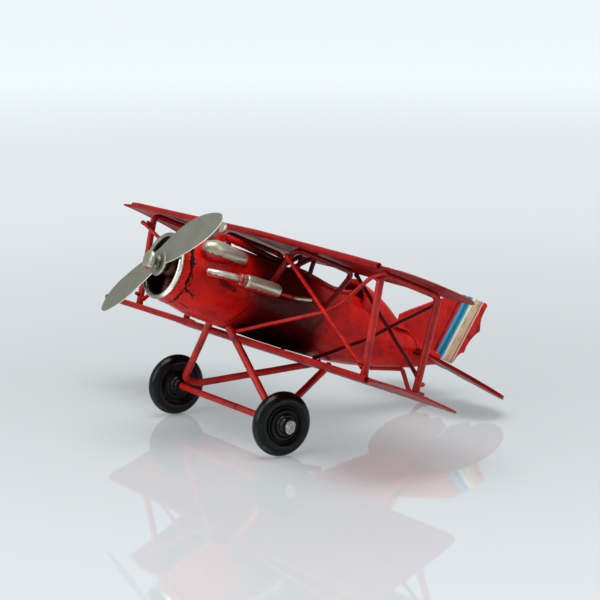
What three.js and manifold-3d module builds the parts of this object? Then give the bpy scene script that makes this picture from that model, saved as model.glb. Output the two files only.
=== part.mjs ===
// A small tin-plate ornament of a vintage biplane, standing on its two wheels and its tail skid.
//
// Everything is laid out in the rigging frame: x to port, y aft, z up, in millimetres, with the
// wings level and the middle of the wheel axle at the origin. place() then tips each piece nose-up
// by PITCH about the axle and lifts it by the wheel radius, so that the wheels and the skid stand
// on z = 0. The nose points along -Y.

import * as THREE from "three";
import { mergeVertices } from "three/addons/utils/BufferGeometryUtils.js";
import Module from "manifold-3d";

const wasm = await Module();
wasm.setup();

// ---- driving dimensions ----------------------------------------------------------------------

const PITCH = THREE.MathUtils.degToRad(20); // nose-up attitude on the ground
const GAP = 0.3; // clearance left between soldered neighbours
const SHEET = 0.8; // tin sheet

const WHEEL_RADIUS = 10;
const TYRE_RADIUS = 2.4; // radius of the tyre's round section
const WHEEL_X = 32; // half track
const AXLE_RADIUS = 1.05;
const RUNNING = 0.1; // clearance round an axle that turns

const THRUST_Z = 36.3; // height of the propeller's axis above the axle
const COWL_FRONT_Y = -36.5; // middle of the front lip
const COWL_RADIUS = 9.9;
const LIP_RADIUS = 0.9;
const SHELL_FRONT_Y = -33.2;
const ENGINE_REAR_Y = -31; // back of the crankcase
const SHELL_REAR_Y = 76.8;

const BLADE_TILT = THREE.MathUtils.degToRad(35.5); // how far the blades stand above level, port side up
const BLADE_TWIST = THREE.MathUtils.degToRad(5);
const PROPELLER_Y = -38.5;
const SHAFT_RADIUS = 0.9;

const HALF_SPAN = 80.5;
const ROLL_RADIUS = 1;
const WING_SHEET = 0.6;
// rollHalf is half the length of the rolled leading edge, tip the rounding of the rear corners.
const UPPER_WING = { leadY: -12, trailY: 24.2, z: 53.8, bend: 1.6, tip: 9.7, rollHalf: 72.6, curl: 1 };
const LOWER_WING = { leadY: -8.6, trailY: 26.2, z: 20.8, bend: 0, tip: 4, rollHalf: 77.6, curl: 0 };
const BEND_X = 8; // the upper wing slopes down slightly to port of here
const CURL_X = -69; // and its starboard tip is bent down outside here

const INTERPLANE = {
  x: 67, radius: 1.15, footFront: -1.7, topFront: -6.2, topRear: 16.4, footRear: 18.2,
};
const CABANE = {
  x: 20.5, footX: 10.5, radius: 0.9, footFront: -4, topFront: -5.4, topRear: 18.2, footRear: 17.9,
};
const BRACE_RADIUS = 0.6;
const LEG_RADIUS = 1.2;

// Fuselage sections, nose to tail: bottom and top of the sheet, and half its width.
const FUSELAGE = [
  { y: -32, bottom: 24.9, top: 46.5, half: 10.8 },
  { y: -24, bottom: 23.3, top: 47.5, half: 12.1 },
  { y: -12, bottom: 22.5, top: 47.7, half: 12.7 },
  { y: 4, bottom: 21.7, top: 47.1, half: 12.9 },
  { y: 20, bottom: 21.4, top: 46.2, half: 12.5 },
  { y: 36, bottom: 21.8, top: 44.8, half: 11.3 },
  { y: 52, bottom: 24.2, top: 41.2, half: 8.4 },
  { y: 66, bottom: 27.1, top: 37.6, half: 4.9 },
  { y: 78, bottom: 30.8, top: 34.5, half: 2.1 },
];

// The hood behind the cockpit: its own top line, wider than the fuselage under it.
const TURTLEDECK = [
  { y: 34.6, bottom: 37.5, top: 49.9, half: 8.5 },
  { y: 41, bottom: 36.5, top: 48.2, half: 8.6 },
  { y: 47, bottom: 35.6, top: 45.5, half: 8.2 },
  { y: 53, bottom: 34, top: 42, half: 7.5 },
  { y: 60, bottom: 32, top: 39.8, half: 6.3 },
];

// The two blades, cut from one sheet: [along the blades, across them] from the propeller's axis.
const PROPELLER_OUTLINE = [
  [0, 4.3], [8, 4.9], [16, 5.1], [23, 4], [29, 1.9], [33, -0.8], [32, -3], [26, -4.4], [18, -4.3], [9, -3.3],
  [0, -1.8], [-9, -3.1], [-18, -3.9], [-25, -3.5], [-30, -2.4], [-31.6, -0.2], [-28, 3], [-21, 4.7], [-9, 5],
];

const COCKPIT = { frontY: 13, rearY: 33.4, half: 6.2 };

// ---- materials -------------------------------------------------------------------------------

const finish = (color, roughness, metalness) => () =>
  new THREE.MeshStandardMaterial({ color, roughness, metalness });

const redPaint = finish(0xa81c14, 0.38, 0.25);
const silverPaint = finish(0xa5a196, 0.35, 0.8);
const darkMetal = finish(0x3a1d18, 0.5, 0.5);
const blackPlastic = finish(0x161618, 0.4, 0);
const steel = finish(0xc9c9c6, 0.3, 0.9);

// ---- solids ----------------------------------------------------------------------------------

function solid(geometry) {
  const bare = geometry.clone();
  bare.deleteAttribute("normal");
  bare.deleteAttribute("uv");
  const merged = mergeVertices(bare, 1e-4);
  return new wasm.Manifold(new wasm.Mesh({
    numProp: 3,
    vertProperties: new Float32Array(merged.attributes.position.array),
    triVerts: new Uint32Array(merged.index.array),
  }));
}

function surface(body) {
  const mesh = body.getMesh();
  const geometry = new THREE.BufferGeometry();
  geometry.setAttribute("position", new THREE.BufferAttribute(mesh.vertProperties, 3));
  geometry.setIndex(new THREE.BufferAttribute(mesh.triVerts, 1));
  geometry.computeVertexNormals();
  return geometry;
}

const cut = (geometry, ...tools) =>
  surface(tools.reduce((body, tool) => body.subtract(solid(tool)), solid(geometry)));
const join = (geometry, ...others) =>
  surface(others.reduce((body, other) => body.add(solid(other)), solid(geometry)));
const common = (geometry, other) => surface(solid(geometry).intersect(solid(other)));

const mirrored = (geometry) => {
  const copy = geometry.clone().applyMatrix4(new THREE.Matrix4().makeScale(-1, 1, 1));
  const index = copy.index.array;
  for (let i = 0; i < index.length; i += 3) [index[i], index[i + 1]] = [index[i + 1], index[i]];
  copy.computeVertexNormals();
  return copy;
};

const point = (x, y, z) => new THREE.Vector3(x, y, z);

// A round bar from one point to another.
function bar(from, to, radius, sides = 10) {
  const along = to.clone().sub(from);
  const geometry = new THREE.CylinderGeometry(radius, radius, along.length(), sides);
  const turn = new THREE.Quaternion().setFromUnitVectors(point(0, 1, 0), along.clone().normalize());
  geometry.applyQuaternion(turn);
  return geometry.translate(...from.clone().add(to).multiplyScalar(0.5).toArray());
}

// A wire bent through the given points, with every corner rounded.
function bentWire(points, radius, bend, steps, sides = 8) {
  const path = new THREE.CurvePath();
  let start = points[0];
  for (let i = 1; i < points.length - 1; i += 1) {
    const before = points[i].clone().lerp(points[i - 1], bend / points[i].distanceTo(points[i - 1]));
    const after = points[i].clone().lerp(points[i + 1], bend / points[i].distanceTo(points[i + 1]));
    path.add(new THREE.LineCurve3(start, before));
    path.add(new THREE.QuadraticBezierCurve3(before, points[i], after));
    start = after;
  }
  path.add(new THREE.LineCurve3(start, points.at(-1)));
  return sweep(path, radius, steps, sides);
}

function sweep(path, radius, steps, sides = 8) {
  const section = new THREE.Shape();
  for (let i = 0; i <= sides; i += 1) {
    const angle = (2 * Math.PI * i) / sides;
    const spot = [radius * Math.cos(angle), radius * Math.sin(angle)];
    if (i === 0) section.moveTo(...spot);
    else section.lineTo(...spot);
  }
  return new THREE.ExtrudeGeometry(section, { steps, extrudePath: path, bevelEnabled: false });
}

// A profile of [radius, y] points turned about the y axis, moved to x, z.
function turned(profile, x, z, sides = 24) {
  const points = profile.map(([radius, y]) => new THREE.Vector2(radius, y));
  return new THREE.LatheGeometry(points, sides).translate(x, 0, z);
}

// A flat outline of [y, z] points, thickness wide about x.
function plate(outline, thickness, x = 0) {
  const shape = new THREE.Shape(outline.map(([y, z]) => new THREE.Vector2(y, z)));
  const geometry = new THREE.ExtrudeGeometry(shape, { depth: thickness, bevelEnabled: false });
  const axes = new THREE.Matrix4().makeBasis(point(0, 1, 0), point(0, 0, 1), point(1, 0, 0));
  return geometry.applyMatrix4(axes).translate(x - thickness / 2, 0, 0);
}

function boxAt(x, y, z, wide, long, high) {
  return new THREE.BoxGeometry(wide, long, high).translate(x, y, z);
}

// ---- hulls -----------------------------------------------------------------------------------

function sectionAt(stations, y) {
  const clamped = THREE.MathUtils.clamp(y, stations[0].y, stations.at(-1).y);
  const last = stations.length - 1;
  const i = Math.min(last - 1, Math.max(0, stations.findIndex((s) => s.y > clamped) - 1));
  const index = clamped >= stations[last].y ? last - 1 : i;
  const t = (clamped - stations[index].y) / (stations[index + 1].y - stations[index].y);
  const blend = (key) => {
    const values = [-1, 0, 1, 2].map((k) => stations[THREE.MathUtils.clamp(index + k, 0, last)][key]);
    const [before, from, to, after] = values;
    const slopeFrom = (to - before) / 2;
    const slopeTo = (after - from) / 2;
    const t2 = t * t;
    const t3 = t2 * t;
    return (2 * t3 - 3 * t2 + 1) * from + (t3 - 2 * t2 + t) * slopeFrom
      + (3 * t2 - 2 * t3) * to + (t3 - t2) * slopeTo;
  };
  return { bottom: blend("bottom"), top: blend("top"), half: blend("half") };
}

// An oval body through the stations, grown outwards by grow, from fromY to toY.
function hull(stations, fromY, toY, grow, steps = 12, sides = 24) {
  const geometry = new THREE.CylinderGeometry(1, 1, 1, sides, steps);
  const spots = geometry.attributes.position;
  for (let i = 0; i < spots.count; i += 1) {
    const y = THREE.MathUtils.lerp(fromY, toY, spots.getY(i) + 0.5);
    const { bottom, top, half } = sectionAt(stations, y);
    const x = spots.getX(i) * (half + grow);
    const z = (bottom + top) / 2 + spots.getZ(i) * ((top - bottom) / 2 + grow);
    spots.setXYZ(i, x, y, z);
  }
  return geometry;
}

const fuselageEnvelope = () => hull(FUSELAGE, SHELL_FRONT_Y - 2, SHELL_REAR_Y + GAP, GAP);

// ---- the part --------------------------------------------------------------------------------

const model = new THREE.Group();

function place(name, geometry, material) {
  geometry.applyMatrix4(new THREE.Matrix4().makeRotationX(-PITCH));
  geometry.translate(0, 0, WHEEL_RADIUS);
  geometry.computeVertexNormals();
  const mesh = new THREE.Mesh(geometry, material());
  mesh.name = name;
  model.add(mesh);
}

// Builds the port piece and its mirror image.
function placePair(name, geometry, material) {
  const indexed = mergeVertices(geometry.clone());
  place(`${name}_port`, indexed.clone(), material);
  place(`${name}_starboard`, mirrored(indexed), material);
}

function buildFuselage() {
  const outer = hull(FUSELAGE, SHELL_FRONT_Y, SHELL_REAR_Y, 0, 14, 28);
  const hollow = hull(FUSELAGE, SHELL_FRONT_Y - 1, 62, -SHEET);
  const { frontY, rearY, half } = COCKPIT;
  const mouth = new THREE.Shape();
  mouth.absellipse(0, (frontY + rearY) / 2, half, (rearY - frontY) / 2, 0, 2 * Math.PI);
  const opening = new THREE.ExtrudeGeometry(mouth, { depth: 20, bevelEnabled: false, curveSegments: 8 });
  place("fuselage_shell", cut(outer, hollow, opening.translate(0, 0, 38)), redPaint);

  const deck = hull(TURTLEDECK, 34.6, 59, 0, 8, 24);
  const deckInside = hull(TURTLEDECK, 34, 56, -SHEET, 8, 24);
  const hood = cut(deck, deckInside, fuselageEnvelope());
  const belowDeck = boxAt(0, 47, 32, 40, 40, 14);
  place("turtledeck", cut(hood, belowDeck), redPaint);
}

function buildCockpit() {
  const { frontY, rearY, half } = COCKPIT;
  const wire = 0.6;
  const middleY = (frontY + rearY) / 2;
  const rim = [];
  for (let i = 0; i <= 20; i += 1) {
    const angle = Math.PI / 2 + 0.05 + ((2 * Math.PI - 0.1) * i) / 20;
    const x = (half + 0.3) * Math.cos(angle);
    const y = middleY + ((rearY - frontY) / 2 + 0.2) * Math.sin(angle);
    const { bottom, top, half: wide } = sectionAt(FUSELAGE, y);
    const rise = ((top - bottom) / 2) * Math.sqrt(1 - (x / wide) ** 2);
    rim.push(point(x, y, (top + bottom) / 2 + rise + wire + GAP + 0.15));
  }
  const coaming = sweep(new THREE.CatmullRomCurve3(rim), wire, 28, 6);
  place("cockpit_coaming", cut(coaming, boxAt(0, 37.4, 46, 30, 5.6, 20)), redPaint);

  const chair = plate([[20, 37], [31, 35.4], [33.4, 43.8], [32.6, 44], [30.4, 36.4], [20.2, 37.8]], 40);
  place("cockpit_seat", common(chair, hull(FUSELAGE, 15, 45, -SHEET - GAP)), darkMetal);
  const board = boxAt(0, 12.3, 42.5, 40, 0.7, 6);
  place("dashboard", common(board, hull(FUSELAGE, 5, 30, -SHEET - GAP)), darkMetal);
}

function buildCowling() {
  const bandFront = COWL_FRONT_Y + LIP_RADIUS + GAP;
  const bandRear = SHELL_FRONT_Y - GAP;
  const centreZ = (FUSELAGE[0].bottom + FUSELAGE[0].top) / 2;
  const band = [
    [10.2, bandFront], [10.8, bandRear], [10, bandRear], [9.4, bandFront], [10.2, bandFront],
  ];
  place("cowl_band", turned(band, 0, centreZ, 28), redPaint);
  const lip = new THREE.TorusGeometry(COWL_RADIUS, LIP_RADIUS, 8, 28).rotateX(Math.PI / 2);
  place("cowl_lip", lip.translate(0, COWL_FRONT_Y, centreZ), silverPaint);

  const plateRear = ENGINE_REAR_Y + 1;
  const backplate = [[0, plateRear - 0.7], [9.5, plateRear - 0.7], [9.5, plateRear], [0, plateRear]];
  place("engine_backplate", turned(backplate, 0, centreZ, 28), darkMetal);
}

function buildEngine() {
  const rear = ENGINE_REAR_Y;
  const front = COWL_FRONT_Y + 0.6;
  const bore = SHAFT_RADIUS + RUNNING;
  const crankcase = [
    [bore, front], [2.6, front], [3.4, front + 1.2], [3.4, rear], [bore, rear], [bore, front],
  ];
  place("engine_crankcase", turned(crankcase, 0, THRUST_Z, 16), darkMetal);

  const cylinderCount = 5;
  const finCount = 3;
  for (let i = 0; i < cylinderCount; i += 1) {
    const profile = [[0, 3.8]];
    for (let fin = 0; fin < finCount; fin += 1) {
      const foot = 4 + fin * 1.6;
      profile.push([1.3, foot], [1.3, foot + 0.7], [1.8, foot + 0.8], [1.8, foot + 1.4]);
    }
    profile.push([1.1, 8.9], [0, 8.9]);
    const barrel = turned(profile, 0, 0, 10);
    barrel.rotateX(Math.PI / 2);
    barrel.rotateY(((i + 0.5) * 2 * Math.PI) / cylinderCount);
    barrel.translate(0, (front + rear) / 2 + 0.6, THRUST_Z);
    place(`engine_cylinder_${i + 1}`, barrel, darkMetal);
  }
}

function buildPropeller() {
  const holeRadius = SHAFT_RADIUS + RUNNING;
  const thickness = 0.6;
  const blades = new THREE.Shape();
  blades.moveTo(...PROPELLER_OUTLINE[0]);
  const rest = [...PROPELLER_OUTLINE.slice(1), PROPELLER_OUTLINE[0]];
  blades.splineThru(rest.map((spot) => new THREE.Vector2(...spot)));
  const options = { depth: thickness, bevelEnabled: false, curveSegments: 2 };
  const sheet = new THREE.ExtrudeGeometry(blades, options).translate(0, 0, -thickness / 2);
  const spots = sheet.attributes.position;
  for (let i = 0; i < spots.count; i += 1) {
    const lean = THREE.MathUtils.clamp(spots.getX(i) / 8, -1, 1) * Math.tan(BLADE_TWIST);
    spots.setZ(i, spots.getZ(i) + spots.getY(i) * lean);
  }
  sheet.rotateZ(BLADE_TILT);
  sheet.rotateX(Math.PI / 2);
  const discHalf = 0.45;
  const disc = turned([[0, -discHalf], [4.2, -discHalf], [4.2, discHalf], [0, discHalf]], 0, 0, 24);
  const hole = turned([[0, -3], [holeRadius, -3], [holeRadius, 3], [0, 3]], 0, 0, 12);
  place("propeller", cut(join(sheet, disc), hole).translate(0, PROPELLER_Y, THRUST_Z), silverPaint);

  const nutRear = PROPELLER_Y - discHalf - GAP;
  const capRear = nutRear - 2.1;
  const shaftFront = capRear + GAP;
  const shaftRear = ENGINE_REAR_Y - 1;
  const shaft = [[0, shaftFront], [SHAFT_RADIUS, shaftFront], [SHAFT_RADIUS, shaftRear], [0, shaftRear]];
  place("propeller_shaft", turned(shaft, 0, THRUST_Z, 12), steel);
  const nut = [
    [holeRadius, nutRear - 1.3], [2, nutRear - 1.3], [2.2, nutRear], [holeRadius, nutRear],
    [holeRadius, nutRear - 1.3],
  ];
  place("propeller_nut", turned(nut, 0, THRUST_Z, 12), steel);
  const capFront = capRear - 1.6;
  const cap = [[0, capFront], [2.6, capFront], [2.95, capFront + 0.4], [2.95, capRear], [0, capRear]];
  place("propeller_cap", turned(cap, 0, THRUST_Z, 24), silverPaint);
}

function buildCowlFittings() {
  const bulge = [[0, -8.4], [1.9, -7.6], [3.1, -4.6], [3, -1], [2.4, 4], [2.1, 6.8], [1.5, 7.8], [0, 7.8]];
  const blister = turned(bulge, 0, 0, 20);
  blister.scale(1, 1, 1.05).rotateX(-0.06).translate(9.3, -22.2, 44.2);
  placePair("cowl_blister", cut(blister, fuselageEnvelope()), silverPaint);

  const pipeLine = [point(12.2, -28.2, 37.8), point(14, -25.6, 38), point(14.6, -19, 38.4)];
  const pipe = bentWire(pipeLine, 1.2, 1.5, 8, 10);
  placePair("exhaust_pipe", cut(pipe, fuselageEnvelope()), silverPaint);
  const collar = [];
  for (let i = 0; i < 2; i += 1) {
    collar.push([1.5, -18.7 + i * 1.1], [1.9, -18.4 + i * 1.1], [1.9, -17.9 + i * 1.1]);
  }
  const collarRing = turned([[0, -18.7], ...collar, [0, -16.5]], 14.9, 38.4, 14);
  placePair("exhaust_collar", cut(collarRing, fuselageEnvelope()), silverPaint);
  const drum = [[0, -16.2], [1.8, -16.2], [2.25, -15.7], [2.25, -3.7], [1.8, -3.2], [0, -3.2]];
  placePair("exhaust_muffler", turned(drum, 15.2, 38.3, 16), silverPaint);
  const tailLine = [point(15.2, -2.9, 37.8), point(15, 3.2, 37.8), point(14.8, 9.6, 38.8)];
  placePair("exhaust_tailpipe", bentWire(tailLine, 0.65, 1.5, 8), silverPaint);
}

function buildGun() {
  const block = boxAt(0, -19.6, 48.8, 2.6, 2.4, 3.4);
  place("gun_block", cut(block, fuselageEnvelope()), redPaint);
  const barrel = bar(point(0, -18.1, 50), point(0, 6.4, 47.5), 1.1, 12);
  place("gun_barrel", cut(barrel, fuselageEnvelope()), redPaint);
  const muzzle = turned([[0, 0], [1.7, 0], [1.7, 0.9], [0, 0.9]], 0, 0, 16);
  place("gun_sight", muzzle.translate(0, -20.3, 52.5), silverPaint);
}

function buildWindscreen() {
  const wire = 0.55;
  const frames = {
    port: [point(5.6, 12.7, 44.5), point(5.6, 12.9, 52.5), point(5.6, 5, 45.6)],
    starboard: [point(-5.6, 15.2, 44.5), point(-5.6, 15.6, 52.2), point(-5.6, 8.6, 46.4)],
  };
  for (const [side, points] of Object.entries(frames)) {
    const frame = bentWire(points, wire, 1.2, 12, 6);
    place(`windscreen_frame_${side}`, cut(frame, fuselageEnvelope(), rimClearance()), redPaint);
  }
  const inset = 5.6 - wire - GAP;
  place("windscreen_bridge", bar(point(-inset, 14.8, 51.1), point(inset, 12.5, 51.4), wire, 8), redPaint);
}

// Room round the coaming for the feet of the windscreen.
function rimClearance() {
  return boxAt(0, 17, 45.5, 30, 6.4, 4.4);
}

// ---- wings -----------------------------------------------------------------------------------

const camber = (part) => 0.9 * part - 3.1 * part * part;

// How far a wing is bent down at x, y: a slight slope to port, and the starboard tip, which is
// bent down most at its rear corner.
function bendDown(wing, x, y) {
  const slope = (wing.bend * Math.max(0, x - BEND_X)) / (HALF_SPAN - BEND_X);
  const curled = (wing.curl * Math.max(0, CURL_X - x)) / (CURL_X + HALF_SPAN);
  return slope + curled * (0.7 + 0.11 * Math.max(0, y - wing.leadY));
}

// Height of the middle of a wing's sheet.
function wingHeight(wing, x, y) {
  const part = (y - wing.leadY) / (wing.trailY - wing.leadY);
  return wing.z + camber(part) - bendDown(wing, x, y);
}

function wingPanel(wing) {
  const chordSteps = 8;
  const line = [];
  for (let i = 0; i <= chordSteps; i += 1) {
    const y = THREE.MathUtils.lerp(wing.leadY, wing.trailY, i / chordSteps);
    line.push([y, wingHeight(wing, 0, y)]);
  }
  const upper = line.map(([y, z]) => new THREE.Vector2(y, z + WING_SHEET / 2));
  const lower = line.map(([y, z]) => new THREE.Vector2(y, z - WING_SHEET / 2)).reverse();
  const options = { steps: 14, bevelEnabled: false };
  const axes = new THREE.Matrix4().makeBasis(point(0, 1, 0), point(0, 0, 1), point(1, 0, 0));
  const across = (shape, half) => {
    const slab = new THREE.ExtrudeGeometry(shape, { ...options, depth: 2 * half });
    return slab.applyMatrix4(axes).translate(-half, 0, 0);
  };
  const sheet = across(new THREE.Shape([...upper, ...lower]), HALF_SPAN);

  const roll = new THREE.Shape();
  roll.absarc(wing.leadY, wing.z, ROLL_RADIUS, 0, 2 * Math.PI);
  const bore = new THREE.Path();
  bore.absarc(wing.leadY, wing.z, ROLL_RADIUS - 0.4, 0, 2 * Math.PI, true);
  roll.holes.push(bore);
  options.curveSegments = 5;
  const rolledEdge = across(roll, wing.rollHalf);

  const corner = 1.2; // rounding of the front corners
  const planform = new THREE.Shape();
  planform.moveTo(corner - HALF_SPAN, wing.leadY);
  planform.lineTo(HALF_SPAN - corner, wing.leadY);
  planform.quadraticCurveTo(HALF_SPAN, wing.leadY, HALF_SPAN, wing.leadY + corner);
  planform.lineTo(HALF_SPAN, wing.trailY - wing.tip);
  planform.quadraticCurveTo(HALF_SPAN, wing.trailY, HALF_SPAN - wing.tip, wing.trailY);
  planform.lineTo(wing.tip - HALF_SPAN, wing.trailY);
  planform.quadraticCurveTo(-HALF_SPAN, wing.trailY, -HALF_SPAN, wing.trailY - wing.tip);
  planform.lineTo(-HALF_SPAN, wing.leadY + corner);
  planform.quadraticCurveTo(-HALF_SPAN, wing.leadY, corner - HALF_SPAN, wing.leadY);
  const stencil = new THREE.ExtrudeGeometry(planform, { depth: 12, bevelEnabled: false, curveSegments: 4 });
  stencil.translate(0, 0, wing.z - 6);

  const trimmed = common(sheet, stencil);
  const inside = across(new THREE.Shape().absarc(wing.leadY, wing.z, ROLL_RADIUS - 0.4, 0, 2 * Math.PI),
    wing.rollHalf + 1);
  const panel = join(cut(trimmed, inside), rolledEdge);
  const spots = panel.attributes.position;
  for (let i = 0; i < spots.count; i += 1) {
    spots.setZ(i, spots.getZ(i) - bendDown(wing, spots.getX(i), spots.getY(i)));
  }
  return panel;
}

// The lower wing is notched where the landing legs cross its leading edge.
function buildWings() {
  place("upper_wing", wingPanel(UPPER_WING), redPaint);
  const leg = landingLeg(LEG_RADIUS + GAP);
  place("lower_wing", cut(wingPanel(LOWER_WING), leg, mirrored(mergeVertices(leg.clone()))), redPaint);
}

// ---- struts and wires ------------------------------------------------------------------------

function buildInterplaneStruts() {
  const { x, radius, footFront, topFront, topRear, footRear } = INTERPLANE;
  const under = WING_SHEET / 2 + GAP + radius;
  for (const [side, sign] of [["port", 1], ["starboard", -1]]) {
    const top = (y) => wingHeight(UPPER_WING, sign * x, y) - under;
    const foot = (y) => wingHeight(LOWER_WING, sign * x, y) + WING_SHEET / 2 + GAP + 0.2;
    const points = [
      point(sign * x, footFront, foot(footFront)),
      point(sign * x, topFront, top(topFront)),
      point(sign * x, topRear, top(topRear)),
      point(sign * x, footRear, foot(footRear)),
    ];
    place(`interplane_strut_${side}`, bentWire(points, radius, 3, 26), redPaint);
  }
}

function buildCabaneStruts() {
  const { x, footX, radius, footFront, topFront, topRear, footRear } = CABANE;
  const under = WING_SHEET / 2 + GAP + radius;
  const points = [
    point(footX, footFront, 39.5),
    point(x, topFront, wingHeight(UPPER_WING, x, topFront) - under),
    point(x, topRear, wingHeight(UPPER_WING, x, topRear) - under),
    point(footX, footRear, 36),
  ];
  placePair("cabane_strut", cut(bentWire(points, radius, 3, 22), fuselageEnvelope()), redPaint);
}

// Pairs of wires crossing in front of and behind the struts, soldered at their ends.
function buildBraces() {
  const inboard = INTERPLANE.x - INTERPLANE.radius - GAP - BRACE_RADIUS - 0.15;
  const wires = {
    brace_front_down: [point(19, -7.3, 49.2), point(inboard, -1.7, 24)],
    brace_front_up: [
      point(72, -8.5, 51.3), point(65, -7.9, 49), point(46.5, -2.1, 39.3), point(40.3, -2.2, 36.1),
      point(8.6, -9, 23),
    ],
    brace_rear_down: [point(20, 20.3, 50.1), point(inboard, 18.8, 25.8)],
    brace_rear_up: [
      point(inboard, 17.6, 47.2), point(47.6, 21, 40.2), point(33, 21, 31.7), point(9, 21.3, 21.5),
    ],
  };
  // On the starboard side this one is bent a little lower at its outer end.
  const lower = [point(69.4, -8.5, 48.9), point(64, -7.9, 47.3), ...wires.brace_front_up.slice(2)];
  for (const [name, points] of Object.entries(wires)) {
    const steps = points.length > 2 ? 10 : 1;
    const wireAlong = (line) => cut(bentWire(line, BRACE_RADIUS, 3, steps), fuselageEnvelope());
    place(`${name}_port`, wireAlong(points), redPaint);
    const other = name === "brace_front_up" ? lower : points;
    place(`${name}_starboard`, mirrored(mergeVertices(wireAlong(other))), redPaint);
  }
}

// ---- undercarriage ---------------------------------------------------------------------------

// One V of wire: from the nose down to the axle and back up to the belly.
function landingLeg(radius) {
  const elbow = AXLE_RADIUS + GAP + LEG_RADIUS + 0.2;
  const corners = [
    point(5.4, -11.2, 23.8), point(26.4, -1, elbow), point(25, 3.4, elbow - 0.3), point(2.4, 32.5, 20.6),
  ];
  return bentWire(corners, radius, 2, 24);
}

function buildUndercarriage() {
  placePair("landing_leg", cut(landingLeg(LEG_RADIUS), fuselageEnvelope()), redPaint);

  const axleEnd = 36.4;
  place("axle", bar(point(-axleEnd, 0, 0), point(axleEnd, 0, 0), AXLE_RADIUS, 16), redPaint);

  const bore = AXLE_RADIUS + RUNNING;
  const rim = WHEEL_RADIUS - TYRE_RADIUS;
  const inner = WHEEL_X - 1.6;
  const section = [[bore, 28.3], [2.2, 28.3], [2.8, 29.1], [3.4, 29.2], [4.2, inner - 0.3], [5.6, inner]];
  for (let i = 0; i <= 8; i += 1) {
    const angle = Math.PI * (1.15 - (1.3 * i) / 8);
    section.push([rim + TYRE_RADIUS * Math.sin(angle), WHEEL_X + TYRE_RADIUS * Math.cos(angle)]);
  }
  const hub = [[5.4, 33.2], [4.6, 34.4], [4, 34.5], [3.2, 35.4], [2.6, 35.5], [2.2, 36.1], [bore, 36.1]];
  section.push(...hub, [bore, 28.3]);
  const wheel = turned(section, 0, 0, 36).rotateZ(-Math.PI / 2);
  placePair("wheel", wheel, blackPlastic);

  const cap = [[0, 36.75], [1.8, 36.75], [1.8, 37.2], [1.3, 37.7], [0, 37.8]];
  placePair("axle_cap", turned(cap, 0, 0, 14).rotateZ(-Math.PI / 2), steel);
}

// ---- tail ------------------------------------------------------------------------------------

function buildTail() {
  const fin = [
    [56.4, 34], [56.4, 43.4], [63.6, 48], [68, 50.7], [74, 54], [79.4, 56], [78.9, 54.6], [74.4, 35],
    [74, 34],
  ];
  const hood = hull(TURTLEDECK, 34, 59 + GAP, GAP);
  place("fin", cut(plate(fin, 1.2), fuselageEnvelope(), hood), redPaint);

  const rudder = [
    [74.9, 35.4], [79.3, 54.6], [80.3, 56.2], [90.8, 55.8], [91.5, 55.1], [90.6, 51.5], [90.4, 49.2],
    [91.4, 46], [89.4, 43.8], [88.2, 41.8], [87.5, 39.6], [87.3, 37.4], [84.8, 35.4], [83.4, 32.8],
    [78.8, 33.4],
  ];
  place("rudder", cut(plate(rudder, 1.6), fuselageEnvelope()), redPaint);

  buildTailplane();
  buildTailSkid();
}

// Two lobes cut from one flat sheet that leans down to port and aft.
function buildTailplane() {
  const middleY = 75;
  const lobe = new THREE.Shape();
  lobe.moveTo(1.4, 66);
  lobe.bezierCurveTo(8, 61, 18, 62, 25, 65);
  lobe.bezierCurveTo(31, 67.5, 34, 72, 34, 77);
  lobe.bezierCurveTo(34, 83, 28, 87.4, 20, 87.4);
  lobe.quadraticCurveTo(14, 87.4, 12.4, 84.4);
  lobe.quadraticCurveTo(8, 87.6, 4.6, 84.6);
  lobe.lineTo(1.4, 83.5);
  const options = { depth: 1.3, bevelEnabled: false, curveSegments: 8 };
  const half = (side) => {
    const panel = new THREE.ExtrudeGeometry(lobe, options).translate(0, 0, -0.65);
    const spots = panel.attributes.position;
    for (let i = 0; i < spots.count; i += 1) {
      const lean = 0.129 * side * spots.getX(i) + 0.205 * (spots.getY(i) - middleY);
      spots.setZ(i, spots.getZ(i) + 32.2 - lean);
    }
    return cut(panel, fuselageEnvelope());
  };
  place("tailplane_port", half(1), redPaint);
  place("tailplane_starboard", mirrored(mergeVertices(half(-1))), redPaint);
}

// Height of the ground below the wheels and the skid, in the rigging frame.
const groundZ = (y) => (y * Math.sin(PITCH) - WHEEL_RADIUS) / Math.cos(PITCH);

function buildTailSkid() {
  const radius = 0.8;
  const sole = 0.5; // height of the wire's middle above the ground, where its underside is filed flat
  const lift = sole / Math.cos(PITCH);
  const points = [
    point(0, 51, 23.6), point(0, 64, 26.2), point(0, 69.4, groundZ(69.4) + lift + 4.2),
    point(0, 74.8, groundZ(74.8) + lift), point(0, 78.2, groundZ(78.2) + lift),
  ];
  const wire = bentWire(points, radius, 1.4, 20);
  const ground = new THREE.BoxGeometry(20, 200, 10).translate(0, 0, -5 - WHEEL_RADIUS).rotateX(PITCH);
  place("tail_skid", cut(wire, fuselageEnvelope(), ground), redPaint);
}

buildFuselage();
buildCockpit();
buildCowling();
buildEngine();
buildPropeller();
buildCowlFittings();
buildGun();
buildWindscreen();
buildWings();
buildInterplaneStruts();
buildCabaneStruts();
buildBraces();
buildUndercarriage();
buildTail();

// The origin is the middle of the bottom of the whole model's box.
const box = new THREE.Box3().setFromObject(model);
const shiftX = -(box.min.x + box.max.x) / 2;
const shiftY = -(box.min.y + box.max.y) / 2;
for (const mesh of model.children) mesh.geometry.translate(shiftX, shiftY, -box.min.z);

export default model;
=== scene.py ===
import math

import bmesh
import bpy
from mathutils import Matrix, Vector, noise


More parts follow.
